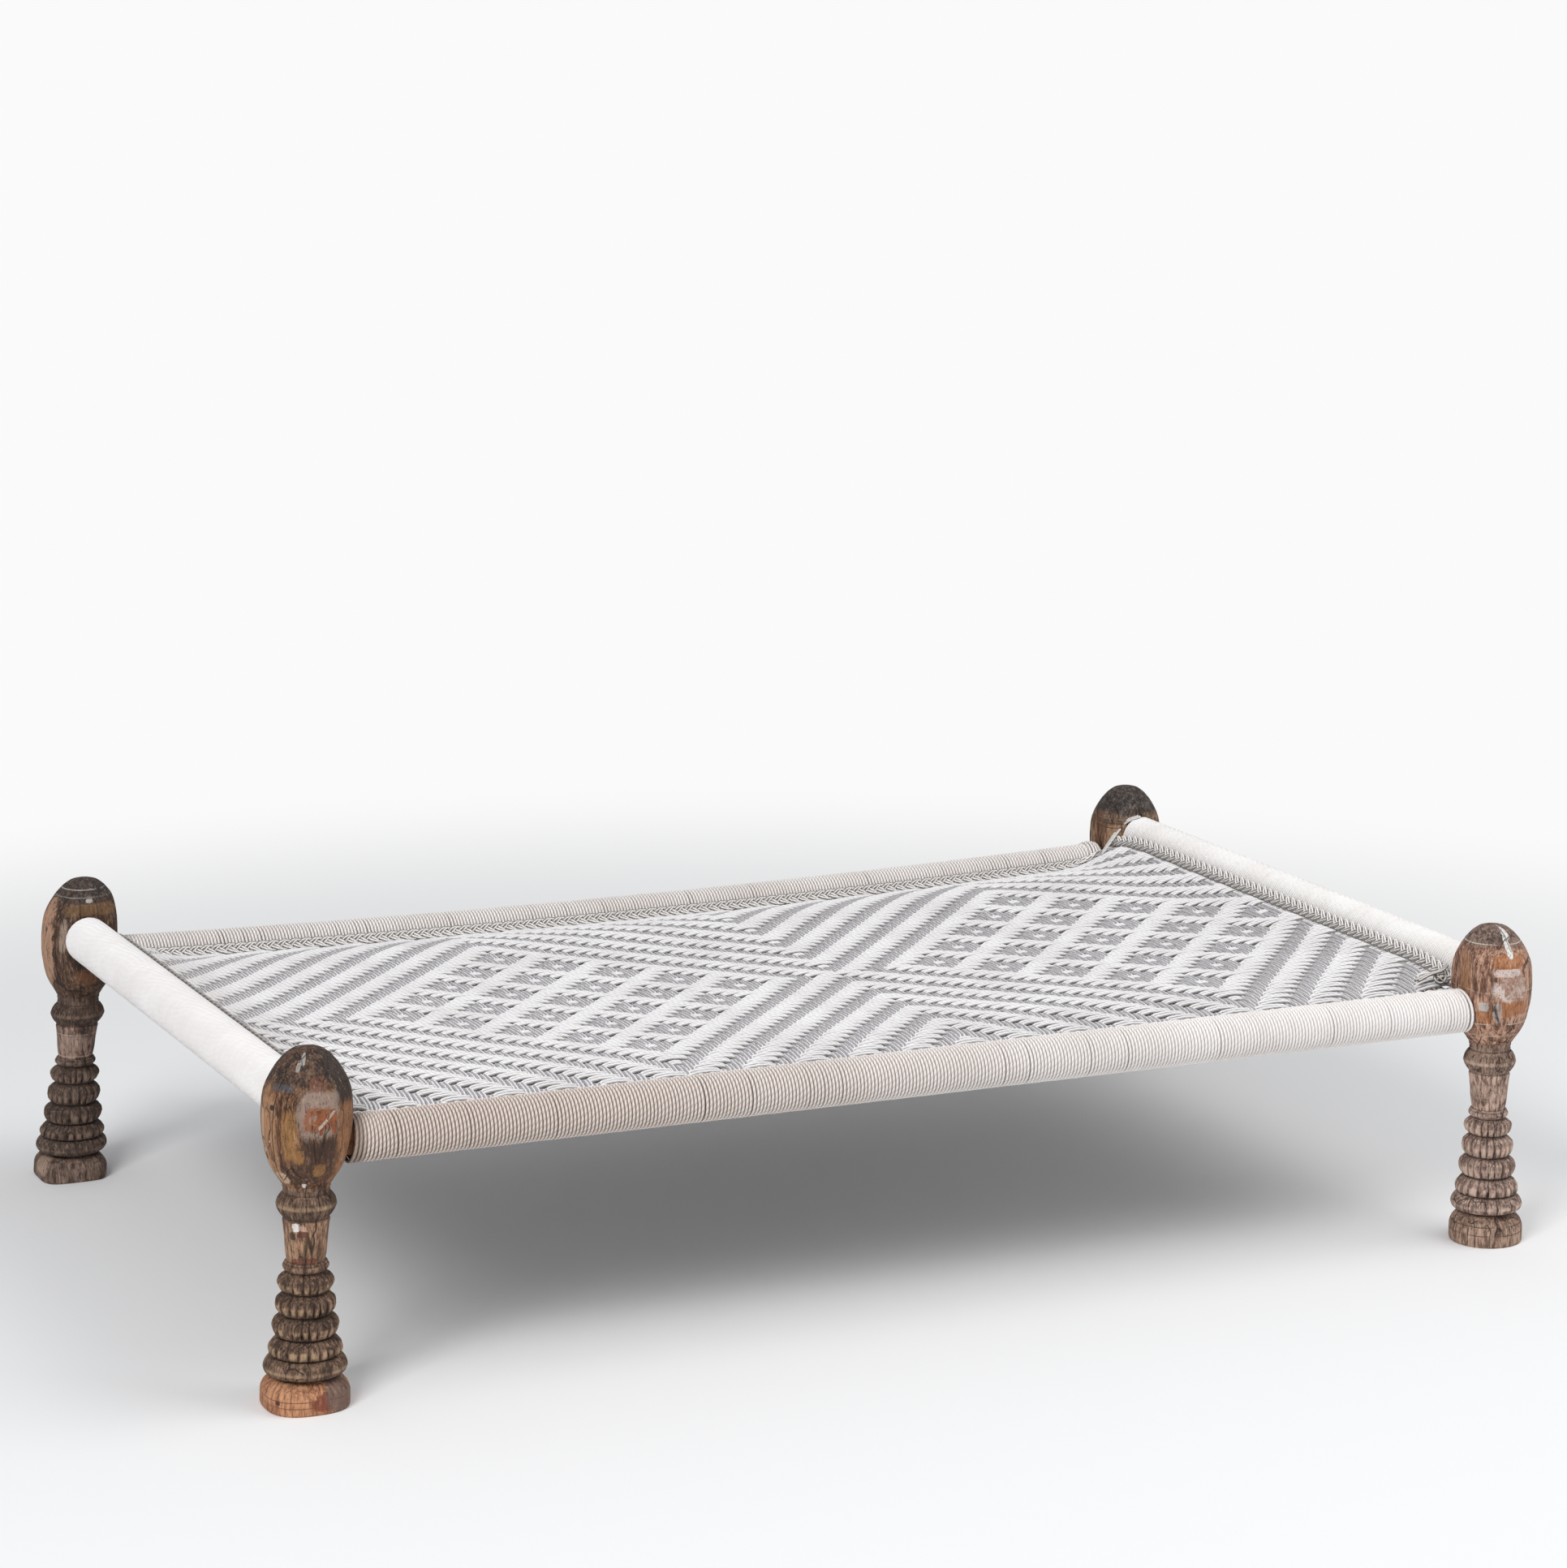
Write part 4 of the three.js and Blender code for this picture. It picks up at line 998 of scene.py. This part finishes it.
def leg_map(heights):
    """The UV map of leg_faces: the share of the way round, and the turning's height."""
    grid = np.stack(np.meshgrid(np.arange(LEG_COLUMNS + 1) / LEG_COLUMNS, heights * MM), axis=-1)
    quads = np.stack([grid[:-1, :-1], grid[:-1, 1:], grid[1:, 1:], grid[1:, :-1]], axis=2)
    low, high = grid[0, :-1, 0], grid[0, 1:, 0]
    turns = np.stack([high, low, low, low, high, low], axis=-1).ravel()
    levels = np.tile(np.repeat([0.0, TURNING_HEIGHT], 3), LEG_COLUMNS)
    return np.concatenate([quads.reshape(-1, 2), np.stack([turns, levels], axis=-1)])


def add_leg(name, facing, finish):
    """facing is the angle of the side that the camera sees, in degrees."""
    heights, radii = leg_outline()
    start = math.radians(facing) + math.pi
    angle = start + 2 * math.pi * np.arange(LEG_COLUMNS) / LEG_COLUMNS
    shape, grime_and_shade, worn_and_highlit = carve(heights, radii, angle, name)
    level = np.interp(heights, LEVELS, LEG_LEVELS[name]) * MM
    points = np.empty((len(heights), LEG_COLUMNS, 3))
    points[..., 2] = level[:, None]
    for axis, side, reach in zip(range(2), side_signs(name), (np.cos(angle), np.sin(angle))):
        lean = math.tan(math.radians(LEG_LEANS[name][axis])) * (level - RAIL_AXES[name][0])
        centre = SHIFT[axis] + side * LEG_SPACING[axis] / 2 + LEG_SHIFTS[name][axis] + lean
        points[..., axis] = centre[:, None] + shape * MM * reach
    flatten_seats(points, name)
    vertices = np.concatenate([points.reshape(-1, 3), [points[0].mean(0), points[-1].mean(0)]])
    mesh = bpy.data.meshes.new(f"carved_leg_{name}")
    mesh.from_pydata(vertices.tolist(), [], leg_faces(len(heights)))
    fill(mesh.uv_layers.new(name="UVMap").data, "uv", leg_map(heights))
    for title, values in (("grime_and_shade", grime_and_shade), ("worn_and_highlit", worn_and_highlit)):
        layer = mesh.attributes.new(title, "FLOAT", "POINT")
        fill(layer.data, "value", np.append(values, [0.0, 0.0]))
    fill(mesh.polygons, "use_smooth", np.ones(len(mesh.polygons)), bool)
    mesh.materials.append(finish)
    mesh.update()
    dress(add_piece(f"carved_leg_{name}", mesh), "leg_wood", f"leg_{name}")


ZONE_BORDERS = ((40.0, 42.5), (184.0, 188.0), (241.0, 243.5), (282.0, 287.0))
LINE_HALF = 0.4  # from the middle of a turned line, in millimetres
LINE_EDGE = 1.0
CROWN_BORDER = 7.0
CROWN_RAGGEDNESS = 26.0
GRAIN_STRETCH = (1.0, 1.0, 0.18)
SCRATCH_STRETCH = (1.0, 1.0, 0.3)
CRACK_STRETCH = (1.0, 1.0, 0.07)
FINE_SCALE = 420.0
MIDDLING_SCALE = 170.0
BROAD_SCALE = 26.0
SPECK_SCALE = 520.0
SCRATCH_SCALE = 240.0
CRACK_SCALE = 46.0
# HOLLOW_GRIME_AND_SHADE is the dark of grime and painted shade in the carving's hollows
STREAKS, PITS, CRACKS, HOLLOW_GRIME_AND_SHADE = (50, 37, 30), (56, 42, 34), (38, 28, 23), (48, 37, 31)
WORN, SCRATCHES = (206, 182, 160), (172, 164, 156)
WOOD_BUMP = 0.8 * MM
POLE_BUMP = 0.5 * MM


def wood_finish(name, zones, crown_level, marks, lines, worn_highlight_tint, seed=0.0, foot_wear=1.0,
                crown_scratches=0.55):
    """Old turned wood. zones gives a dark and a light colour for the foot, the discs, the
    barrel, the collar, the egg and the egg's top; a mark is (turn, level, half turn, half
    level, colour, strength), in degrees from the side that faces the camera and in
    millimetres; a line is (level, colour). foot_wear and crown_scratches say how rough the
    foot and the top are."""
    finish = Finish(name)
    around, level, _ = finish.axes(finish.coordinates("UV"))
    turn = (around - 0.5) * 360.0
    level = level * (1.0 / MM)
    move = (seed, seed * 0.7, seed * 0.3)
    place = finish.coordinates(move=move)
    upright = finish.coordinates(stretch=GRAIN_STRETCH, move=move)
    fine = finish.noise(upright, FINE_SCALE, 4.0, 0.7, 0.3)
    middling = finish.noise(upright, MIDDLING_SCALE, 4.0, 0.7, 0.2)
    broad = finish.noise(place, BROAD_SCALE, 4.0, 0.62, 0.5)
    specks = finish.noise(place, SPECK_SCALE, 3.0, 0.7)
    ragged = (broad - 0.5) * 1.1 + (middling - 0.5) * 1.1 + (specks - 0.5) * 0.6

    dark, light = zones[0]
    for (low, high), (next_dark, next_light) in zip(ZONE_BORDERS, zones[1:-1]):
        above = finish.ramp(level, low, high)
        dark = finish.mix(above, dark, next_dark)
        light = finish.mix(above, light, next_light)
    top_level = level + ragged * CROWN_RAGGEDNESS
    top = finish.ramp(top_level, crown_level - CROWN_BORDER, crown_level + CROWN_BORDER)
    dark = finish.mix(top, dark, zones[-1][0])
    light = finish.mix(top, light, zones[-1][1])
    mottle = finish.ramp(fine * 0.3 + middling * 0.42 + broad * 0.28, 0.43, 0.58)
    base = finish.mix(mottle, dark, light)

    for at_turn, at_level, half_turn, half_level, tint, strength in marks:
        across = abs(turn - at_turn) * (1.0 / half_turn)
        upwards = abs(level - at_level) * (1.0 / half_level)
        edge = finish.maths("MAXIMUM", across, upwards) * 0.68 + (across + upwards) * 0.2
        patch = finish.ramp(edge + ragged * 0.85, 1.12, 0.86)
        base = finish.mix(patch * strength, base, tint)

    wear = finish.ramp(level, 38.0, 44.0) * (1.0 - foot_wear) + foot_wear
    streaks = finish.ramp(fine * 0.6 + specks * 0.4, 0.48, 0.36) * wear
    pits = finish.ramp(middling * 0.45 + specks * 0.3 + broad * 0.25, 0.46, 0.37) * wear
    worn = finish.ramp(fine * 0.5 + middling * 0.5, 0.54, 0.66)
    cracks = crack_lines(finish, place, move) * wear
    for share, tint in ((streaks * 0.75, STREAKS), (pits * 0.7, PITS), (worn * 0.3, WORN),
                        (cracks * 0.8, CRACKS)):
        base = finish.mix(share, base, tint)
    for at_level, tint in lines:
        line = finish.ramp(abs(level + (broad - 0.5) * 1.5 - at_level), LINE_EDGE, LINE_HALF)
        broken = finish.ramp(broad + specks * 0.3, 0.52, 0.66)
        base = finish.mix(line * broken * 0.75, base, tint)

    # The raised parts are worn pale and carry a painted highlight, in the colour given for them in the
    # leg's look
    patchy = finish.ramp(broad * 0.5 + middling * 0.5, 0.38, 0.56)
    base = finish.mix(finish.attribute("worn_and_highlit") * patchy * 0.75, base, worn_highlight_tint)
    # Grime and painted shade in the carving's hollows
    base = finish.mix(finish.attribute("grime_and_shade") * 0.85, base, HOLLOW_GRIME_AND_SHADE)
    scratched = finish.coordinates(stretch=SCRATCH_STRETCH, move=move)
    scratches = finish.ramp(finish.noise(scratched, SCRATCH_SCALE, 2.0, 0.9, 1.6), 0.62, 0.70)
    base = finish.mix(scratches * top * crown_scratches, base, SCRATCHES)
    height = fine * 0.5 + middling * 0.3 + specks * 0.25 - cracks * 0.9 - streaks * 0.2
    rough = 0.66 + specks * 0.2 - top * 0.1
    return finish.surface(base, rough, height, WOOD_BUMP)


def crack_lines(finish, place, move):
    """Thin cracks that run up the grain."""
    cells = finish.coordinates(stretch=CRACK_STRETCH, move=move)
    bend = finish.noise(place, 40.0, 2.0)
    bend = finish.node("ShaderNodeCombineXYZ", {0: bend * 0.012, 1: bend * 0.009, 2: 0.0})
    cells = finish.node("ShaderNodeVectorMath", {0: cells, 1: bend}, operation="ADD")
    sockets = {"Vector": cells, "Scale": CRACK_SCALE}
    edges = finish.node("ShaderNodeTexVoronoi", sockets, feature="DISTANCE_TO_EDGE")
    some = finish.ramp(finish.noise(place, 30.0, 2.0), 0.42, 0.56)
    return finish.ramp(edges, 0.036, 0.008) * some


WHITE_PAINT = (226, 221, 216)
ORANGE = (168, 108, 66)
DARK = (58, 47, 41)
RESIDUE = (220, 203, 196)
SMEARED = (158, 138, 126)
GREY_DAB = (188, 182, 176)
OCHRE = (168, 122, 74)
TAN = (174, 132, 98)
REDDISH = (112, 62, 46)
FOOT_LINE = (80, 62, 54)

# The side of each leg that faces the camera, in degrees, and its wood
LEG_LOOKS = {
    "front_left": (251.9, {
        "zones": (((146, 96, 70), (202, 148, 110)), ((76, 58, 47), (140, 111, 90)),
                  ((108, 80, 63), (176, 140, 112)), ((70, 54, 44), (126, 100, 82)),
                  ((54, 36, 27), (134, 94, 66)), ((40, 32, 28), (104, 77, 60))),
        "crown_level": 418.0,
        "marks": (
            (-62, 350, 18, 58, TAN, 0.75), (-72, 350, 4, 44, (200, 168, 138), 0.6),
            (62, 340, 18, 52, (164, 116, 80), 0.65), (66, 428, 24, 32, DARK, 0.9),
            (8, 320, 36, 27, (78, 57, 46), 0.7), (20, 312, 9, 8, OCHRE, 0.6),
            (-12, 331, 8, 9, OCHRE, 0.6), (-23, 356, 10, 30, OCHRE, 0.6), (-49, 391, 3, 3, DARK, 1.0),
            (17, 386, 26, 28, SMEARED, 0.75), (15, 380, 18, 15, (142, 86, 57), 0.85),
            (11, 379, 8, 5, SMEARED, 0.6), (17, 421, 13, 8, (118, 76, 58), 0.65),
            (-38, 416, 18, 4, (84, 84, 88), 0.65), (-10, 448, 5, 6, GREY_DAB, 0.65),
            (-18, 440, 4, 5, GREY_DAB, 0.55), (-49, 298, 14, 8, (198, 168, 142), 0.85),
            (-4, 290, 5, 3, WHITE_PAINT, 0.9), (-27, 234, 9, 5, WHITE_PAINT, 0.95),
            (-38, 223, 8, 5, DARK, 0.85), (-9, 233, 9, 4, (190, 154, 138), 0.75),
            (-8, 226, 15, 4, (94, 54, 43), 0.85), (-8, 190, 34, 4, REDDISH, 0.75),
            (-35, 17, 3, 2.5, DARK, 0.9), (27, 16, 14, 10, (128, 66, 50), 0.85),
            (58, 22, 24, 24, (114, 95, 87), 0.85),
        ),
        "lines": ((11, (120, 78, 56)), (19, (110, 70, 50))),
        "worn_highlight_tint": (178, 148, 118), "foot_wear": 0.3, "crown_scratches": 0.3,
    }),
    "front_right": (236.1, {
        "zones": (((124, 98, 84), (184, 154, 134)), ((128, 104, 94), (202, 174, 158)),
                  ((104, 78, 67), (206, 176, 159)), ((112, 88, 76), (168, 142, 126)),
                  ((114, 80, 64), (202, 160, 136)), ((78, 62, 55), (142, 118, 106))),
        "crown_level": 432.0,
        "marks": (
            (32, 413, 27, 10, ORANGE, 0.7), (40, 345, 26, 12, ORANGE, 0.75),
            (-8, 333, 15, 10, ORANGE, 0.65), (29, 373, 22, 11, RESIDUE, 0.9),
            (29, 373, 13, 17, RESIDUE, 0.9), (27, 398, 20, 5, RESIDUE, 0.8),
            (36, 369, 8, 7, (146, 106, 84), 0.85), (18, 380, 4, 6, (150, 112, 88), 0.6),
            (-12, 348, 7, 6, (196, 188, 182), 0.85), (10, 340, 6, 13, (180, 172, 166), 0.7),
            (38, 450, 9, 7, WHITE_PAINT, 1.0), (31, 438, 5, 9, WHITE_PAINT, 1.0),
            (33, 425, 5, 9, WHITE_PAINT, 1.0), (-52, 372, 12, 42, (168, 122, 86), 0.6),
            (0, 214, 60, 10, (200, 174, 156), 0.4),
        ),
        "lines": ((436, (204, 194, 182)), (369, (198, 180, 162)), (321, (208, 194, 176)),
                  (302, (190, 172, 152)), (16, FOOT_LINE), (27, FOOT_LINE)),
        "worn_highlight_tint": (204, 178, 160), "seed": 3.1,
    }),
    "back_left": (255.0, {
        "zones": (((88, 70, 60), (136, 114, 101)), ((70, 56, 49), (116, 96, 84)),
                  ((84, 66, 58), (156, 128, 114)), ((64, 50, 43), (106, 85, 73)),
                  ((54, 39, 31), (104, 78, 62)), ((36, 31, 29), (78, 64, 56))),
        "crown_level": 430.0,
        "marks": (
            (-68, 365, 20, 60, (186, 146, 120), 0.8), (20, 419, 44, 8, (132, 100, 68), 0.55),
            (-28, 380, 6, 22, (172, 152, 136), 0.65), (12, 318, 22, 11, (114, 78, 54), 0.75),
            (12, 432, 6, 2.5, (200, 194, 188), 0.7), (-60, 26, 20, 15, (178, 152, 132), 0.75),
            (-20, 214, 44, 12, (186, 164, 150), 0.25),
        ),
        "lines": ((446, (170, 164, 158)), (436, (140, 132, 126)), (228, (180, 160, 146)),
                  (191, (190, 168, 150))),
        "worn_highlight_tint": (132, 110, 95), "seed": 6.4,
    }),
    "back_right": (241.0, {
        "zones": (((106, 86, 72), (152, 126, 106)), ((86, 70, 60), (128, 106, 90)),
                  ((112, 88, 72), (164, 136, 112)), ((84, 68, 58), (124, 102, 86)),
                  ((106, 78, 58), (174, 138, 108)), ((42, 37, 35), (88, 78, 72))),
        "crown_level": 416.0,
        "marks": (
            (-10, 408, 70, 5, (92, 74, 62), 0.7), (-56, 372, 12, 40, (112, 72, 50), 0.75),
            (18, 372, 24, 18, (182, 144, 110), 0.6),
        ),
        "lines": ((397, DARK), (404, DARK), (411, (140, 128, 116))),
        "worn_highlight_tint": (158, 130, 105), "seed": 9.7,
    }),
}

for leg, (leg_facing, look) in LEG_LOOKS.items():
    add_leg(leg, leg_facing, wood_finish(f"wood_{leg}_leg", **look))


# Poles and wedges keep their solids and get their finishes

def plain_wood(name, pale, dark, stretch):
    finish = Finish(name)
    grain = finish.noise(finish.coordinates(stretch=stretch), 300.0, 4.0, 0.6, 0.4)
    blotches = finish.noise(finish.coordinates(), 60.0, 3.0)
    base = finish.mix(finish.ramp(grain * 0.6 + blotches * 0.4, 0.36, 0.64), dark, pale)
    return finish.surface(base, 0.8, grain, POLE_BUMP)


def dress_solids():
    """Only the poles' tenons show; the grain is drawn out along them."""
    along_x, along_y = (0.1, 1.0, 1.0), (1.0, 0.1, 1.0)
    finishes = {
        "side_rail_front": plain_wood("wood_front_pole", (140, 98, 70), (84, 58, 44), along_x),
        "side_rail_back": plain_wood("wood_back_pole", (140, 98, 70), (84, 58, 44), along_x),
        "end_rail_left": plain_wood("wood_left_pole", (150, 92, 60), (98, 56, 38), along_y),
        "end_rail_right": plain_wood("wood_right_pole", (202, 180, 170), (150, 112, 92), along_y),
        "wedge_": plain_wood("wood_wedge", (196, 176, 160), (150, 128, 112), (1.0, 1.0, 1.0)),
    }
    for start, finish in finishes.items():
        for name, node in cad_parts.items():
            if name.startswith(start):
                node.data.materials.clear()
                node.data.materials.append(finish)


dress_solids()


# Knot and loose cords at the front right corner

def arc_path(points, count):
    """A smooth path through a few points."""
    points = np.array(points, float)
    knots = np.arange(len(points))
    fine = np.linspace(0, len(points) - 1, count)
    segment = np.minimum(fine.astype(int), len(points) - 2)
    share = (fine - segment)[:, None]
    before = points[np.maximum(segment - 1, 0)]
    first, second = points[segment], points[segment + 1]
    after = points[np.minimum(segment + 2, knots[-1])]
    return 0.5 * (
        2 * first + (second - before) * share
        + (2 * before - 5 * first + 4 * second - after) * share**2
        + (3 * first - before - 3 * second + after) * share**3
    )


KNOT_CORD = (4.4 * MM, 4.0 * MM)
LOOSE_CORD = (4.2 * MM, 4.0 * MM)
THIN_CORD_SIDES = 7
PATH_STEPS = 24
KNOT_MARGINS = (2.4 * MM, 2.0 * MM)
KNOT_TURNS = 3
KNOT_STEPS = 90
KNOT_OVER_STEPS = 40


def add_corner_knot():
    low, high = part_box("corner_knot_front_right")
    centre = np.array((low + high) / 2)
    radius = (high.x - low.x) / 2 - KNOT_MARGINS[0]
    half = (high.z - low.z) / 2 - KNOT_MARGINS[1]
    steps = np.linspace(0, 2 * math.pi * KNOT_TURNS, KNOT_STEPS)
    reach = 0.72 + 0.28 * np.cos(steps * 2 / 3)
    turns = [radius * np.cos(steps) * reach, radius * np.sin(steps) * reach, half * np.sin(steps * 5 / 3)]
    steps = steps[:KNOT_OVER_STEPS]
    over = [radius * 0.85 * np.sin(steps), radius * 0.35 * np.cos(steps * 0.7), half * np.cos(steps)]
    paths = [np.stack(turns, axis=-1) + centre, np.stack(over, axis=-1) + centre]
    for side in (0.0, 1.0):
        paths.append(centre + MM * arc_path([
            (-36 - 3 * side, 4 * side, 0.5), (-16, 2 + 5 * side, 7), (2, 1 + 6 * side, 11 - side),
            (12, 1 + 6 * side, 19 - 2 * side),
        ], PATH_STEPS))
    # The third colour is painted shade on the knot's cord sides and ply grooves
    finish = cord_finish("cord_knot", (232, 227, 222), (190, 182, 175), (66, 58, 53), 0.85)
    add_cords("tied_knot", paths, one_way(paths, UPWARDS), KNOT_CORD, finish,
              ["corner_knot_front_right"], THIN_CORD_SIDES)


LOOSE_START = 6.0 * MM
LOOSE_SPACING = 6.0 * MM
LOOSE_RISE = 5.0 * MM
LOOSE_OVER_RAIL = 2.0 * MM
LOOSE_FACING = (-0.5, 0.0, 0.8)
LOOSE_BENDS = ((84.0, -10.0), (52.0, -3.0), (22.0, 5.0))  # angle on the rail, and lean along it


def add_back_corner_strands():
    """Two ends of cord that come down from the right rail's last turns to the weave."""
    rail = RAILS["right"]
    reach = rail.wrap_radius + LOOSE_OVER_RAIL
    paths = []
    for side in (0.0, 1.0):
        along = corner_along(rail, 1) - (LOOSE_START + LOOSE_SPACING * side)
        points = []
        for degrees, lean in LOOSE_BENDS:
            angle = math.radians(degrees)
            points.append(rail.place(along + lean * MM, reach * math.cos(angle), reach * math.sin(angle)))
        points.append(bed_place(0.988 - 0.004 * side, 0.99 - 0.012 * side) + [0.0, 0.0, LOOSE_RISE])
        paths.append(arc_path(points, PATH_STEPS))
    # The third colour is painted shade on the loose ends' sides and ply grooves
    finish = cord_finish("cord_strands", (248, 245, 241), (234, 229, 223), (110, 98, 90), 0.25)
    add_cords("loose_ends", paths, one_way(paths, LOOSE_FACING), LOOSE_CORD, finish, (), THIN_CORD_SIDES)


add_corner_knot()
add_back_corner_strands()


# Floor, backdrop and light

BACKDROP = colour(250, 250, 250)
FLOOR = colour(244, 244, 244)
FLOOR_REACH = 30.0
FLOOR_FADE = (1.5, 3.0)
ROOM_LIGHT = (0.95, 0.97, 1.0, 1.0)
ROOM_STRENGTH = 0.44
LIGHTS_AIM = Vector((0.0, 0.0, 0.25))
LIGHTS = (
    ("window", (-5.0, -4.4, 5.6), 3.0, 340.0),
    ("above_right", (2.0, -1.6, 3.9), 3.0, 78.0),
)


def add_stage():
    """A pale floor that takes the bed's shadow and goes over into the backdrop further off."""
    finish = Finish("floor")
    lit = finish.node("ShaderNodeBsdfPrincipled", {
        "Base Color": FLOOR, "Roughness": 0.95, "Specular IOR Level": 0.0})
    seen = finish.node("ShaderNodeEmission", {"Color": BACKDROP, "Strength": 1.0})
    x, y, _ = finish.axes(finish.coordinates())
    far = finish.ramp((x * x + y * y) ** 0.5, *FLOOR_FADE)
    camera_rays = finish.node("ShaderNodeLightPath")
    both = finish.node("ShaderNodeMixShader", {0: far * camera_rays, 1: lit, 2: seen})
    finish.node("ShaderNodeOutputMaterial", {"Surface": both})
    mesh = bpy.data.meshes.new("floor")
    corners = [(FLOOR_REACH * x, FLOOR_REACH * y, 0) for x, y in ((-1, -1), (1, -1), (1, 1), (-1, 1))]
    mesh.from_pydata(corners, [], [(0, 1, 2, 3)])
    mesh.materials.append(finish.material)
    add_piece("floor", mesh)


def add_backdrop():
    """A soft grey room as far as its light goes, which looks white to the camera."""
    world = bpy.data.worlds.new("studio")
    bpy.context.scene.world = world
    world.use_nodes = True
    sky = Nodes(world.node_tree)
    room = sky.node("ShaderNodeBackground", {"Color": ROOM_LIGHT, "Strength": ROOM_STRENGTH})
    seen = sky.node("ShaderNodeBackground", {"Color": BACKDROP})
    camera_rays = sky.node("ShaderNodeLightPath")
    choice = sky.node("ShaderNodeMixShader", {0: camera_rays, 1: room, 2: seen})
    sky.node("ShaderNodeOutputWorld", {"Surface": choice})


def add_lights():
    for name, place, size, power in LIGHTS:
        lamp = bpy.data.lights.new(name, "AREA")
        lamp.size = size
        lamp.energy = power
        light = bpy.data.objects.new(name, lamp)
        light.location = place
        light.rotation_euler = (LIGHTS_AIM - light.location).to_track_quat("-Z", "Y").to_euler()
        bpy.context.scene.collection.objects.link(light)


add_stage()
add_backdrop()
add_lights()
bpy.context.scene.view_settings.view_transform = "Standard"
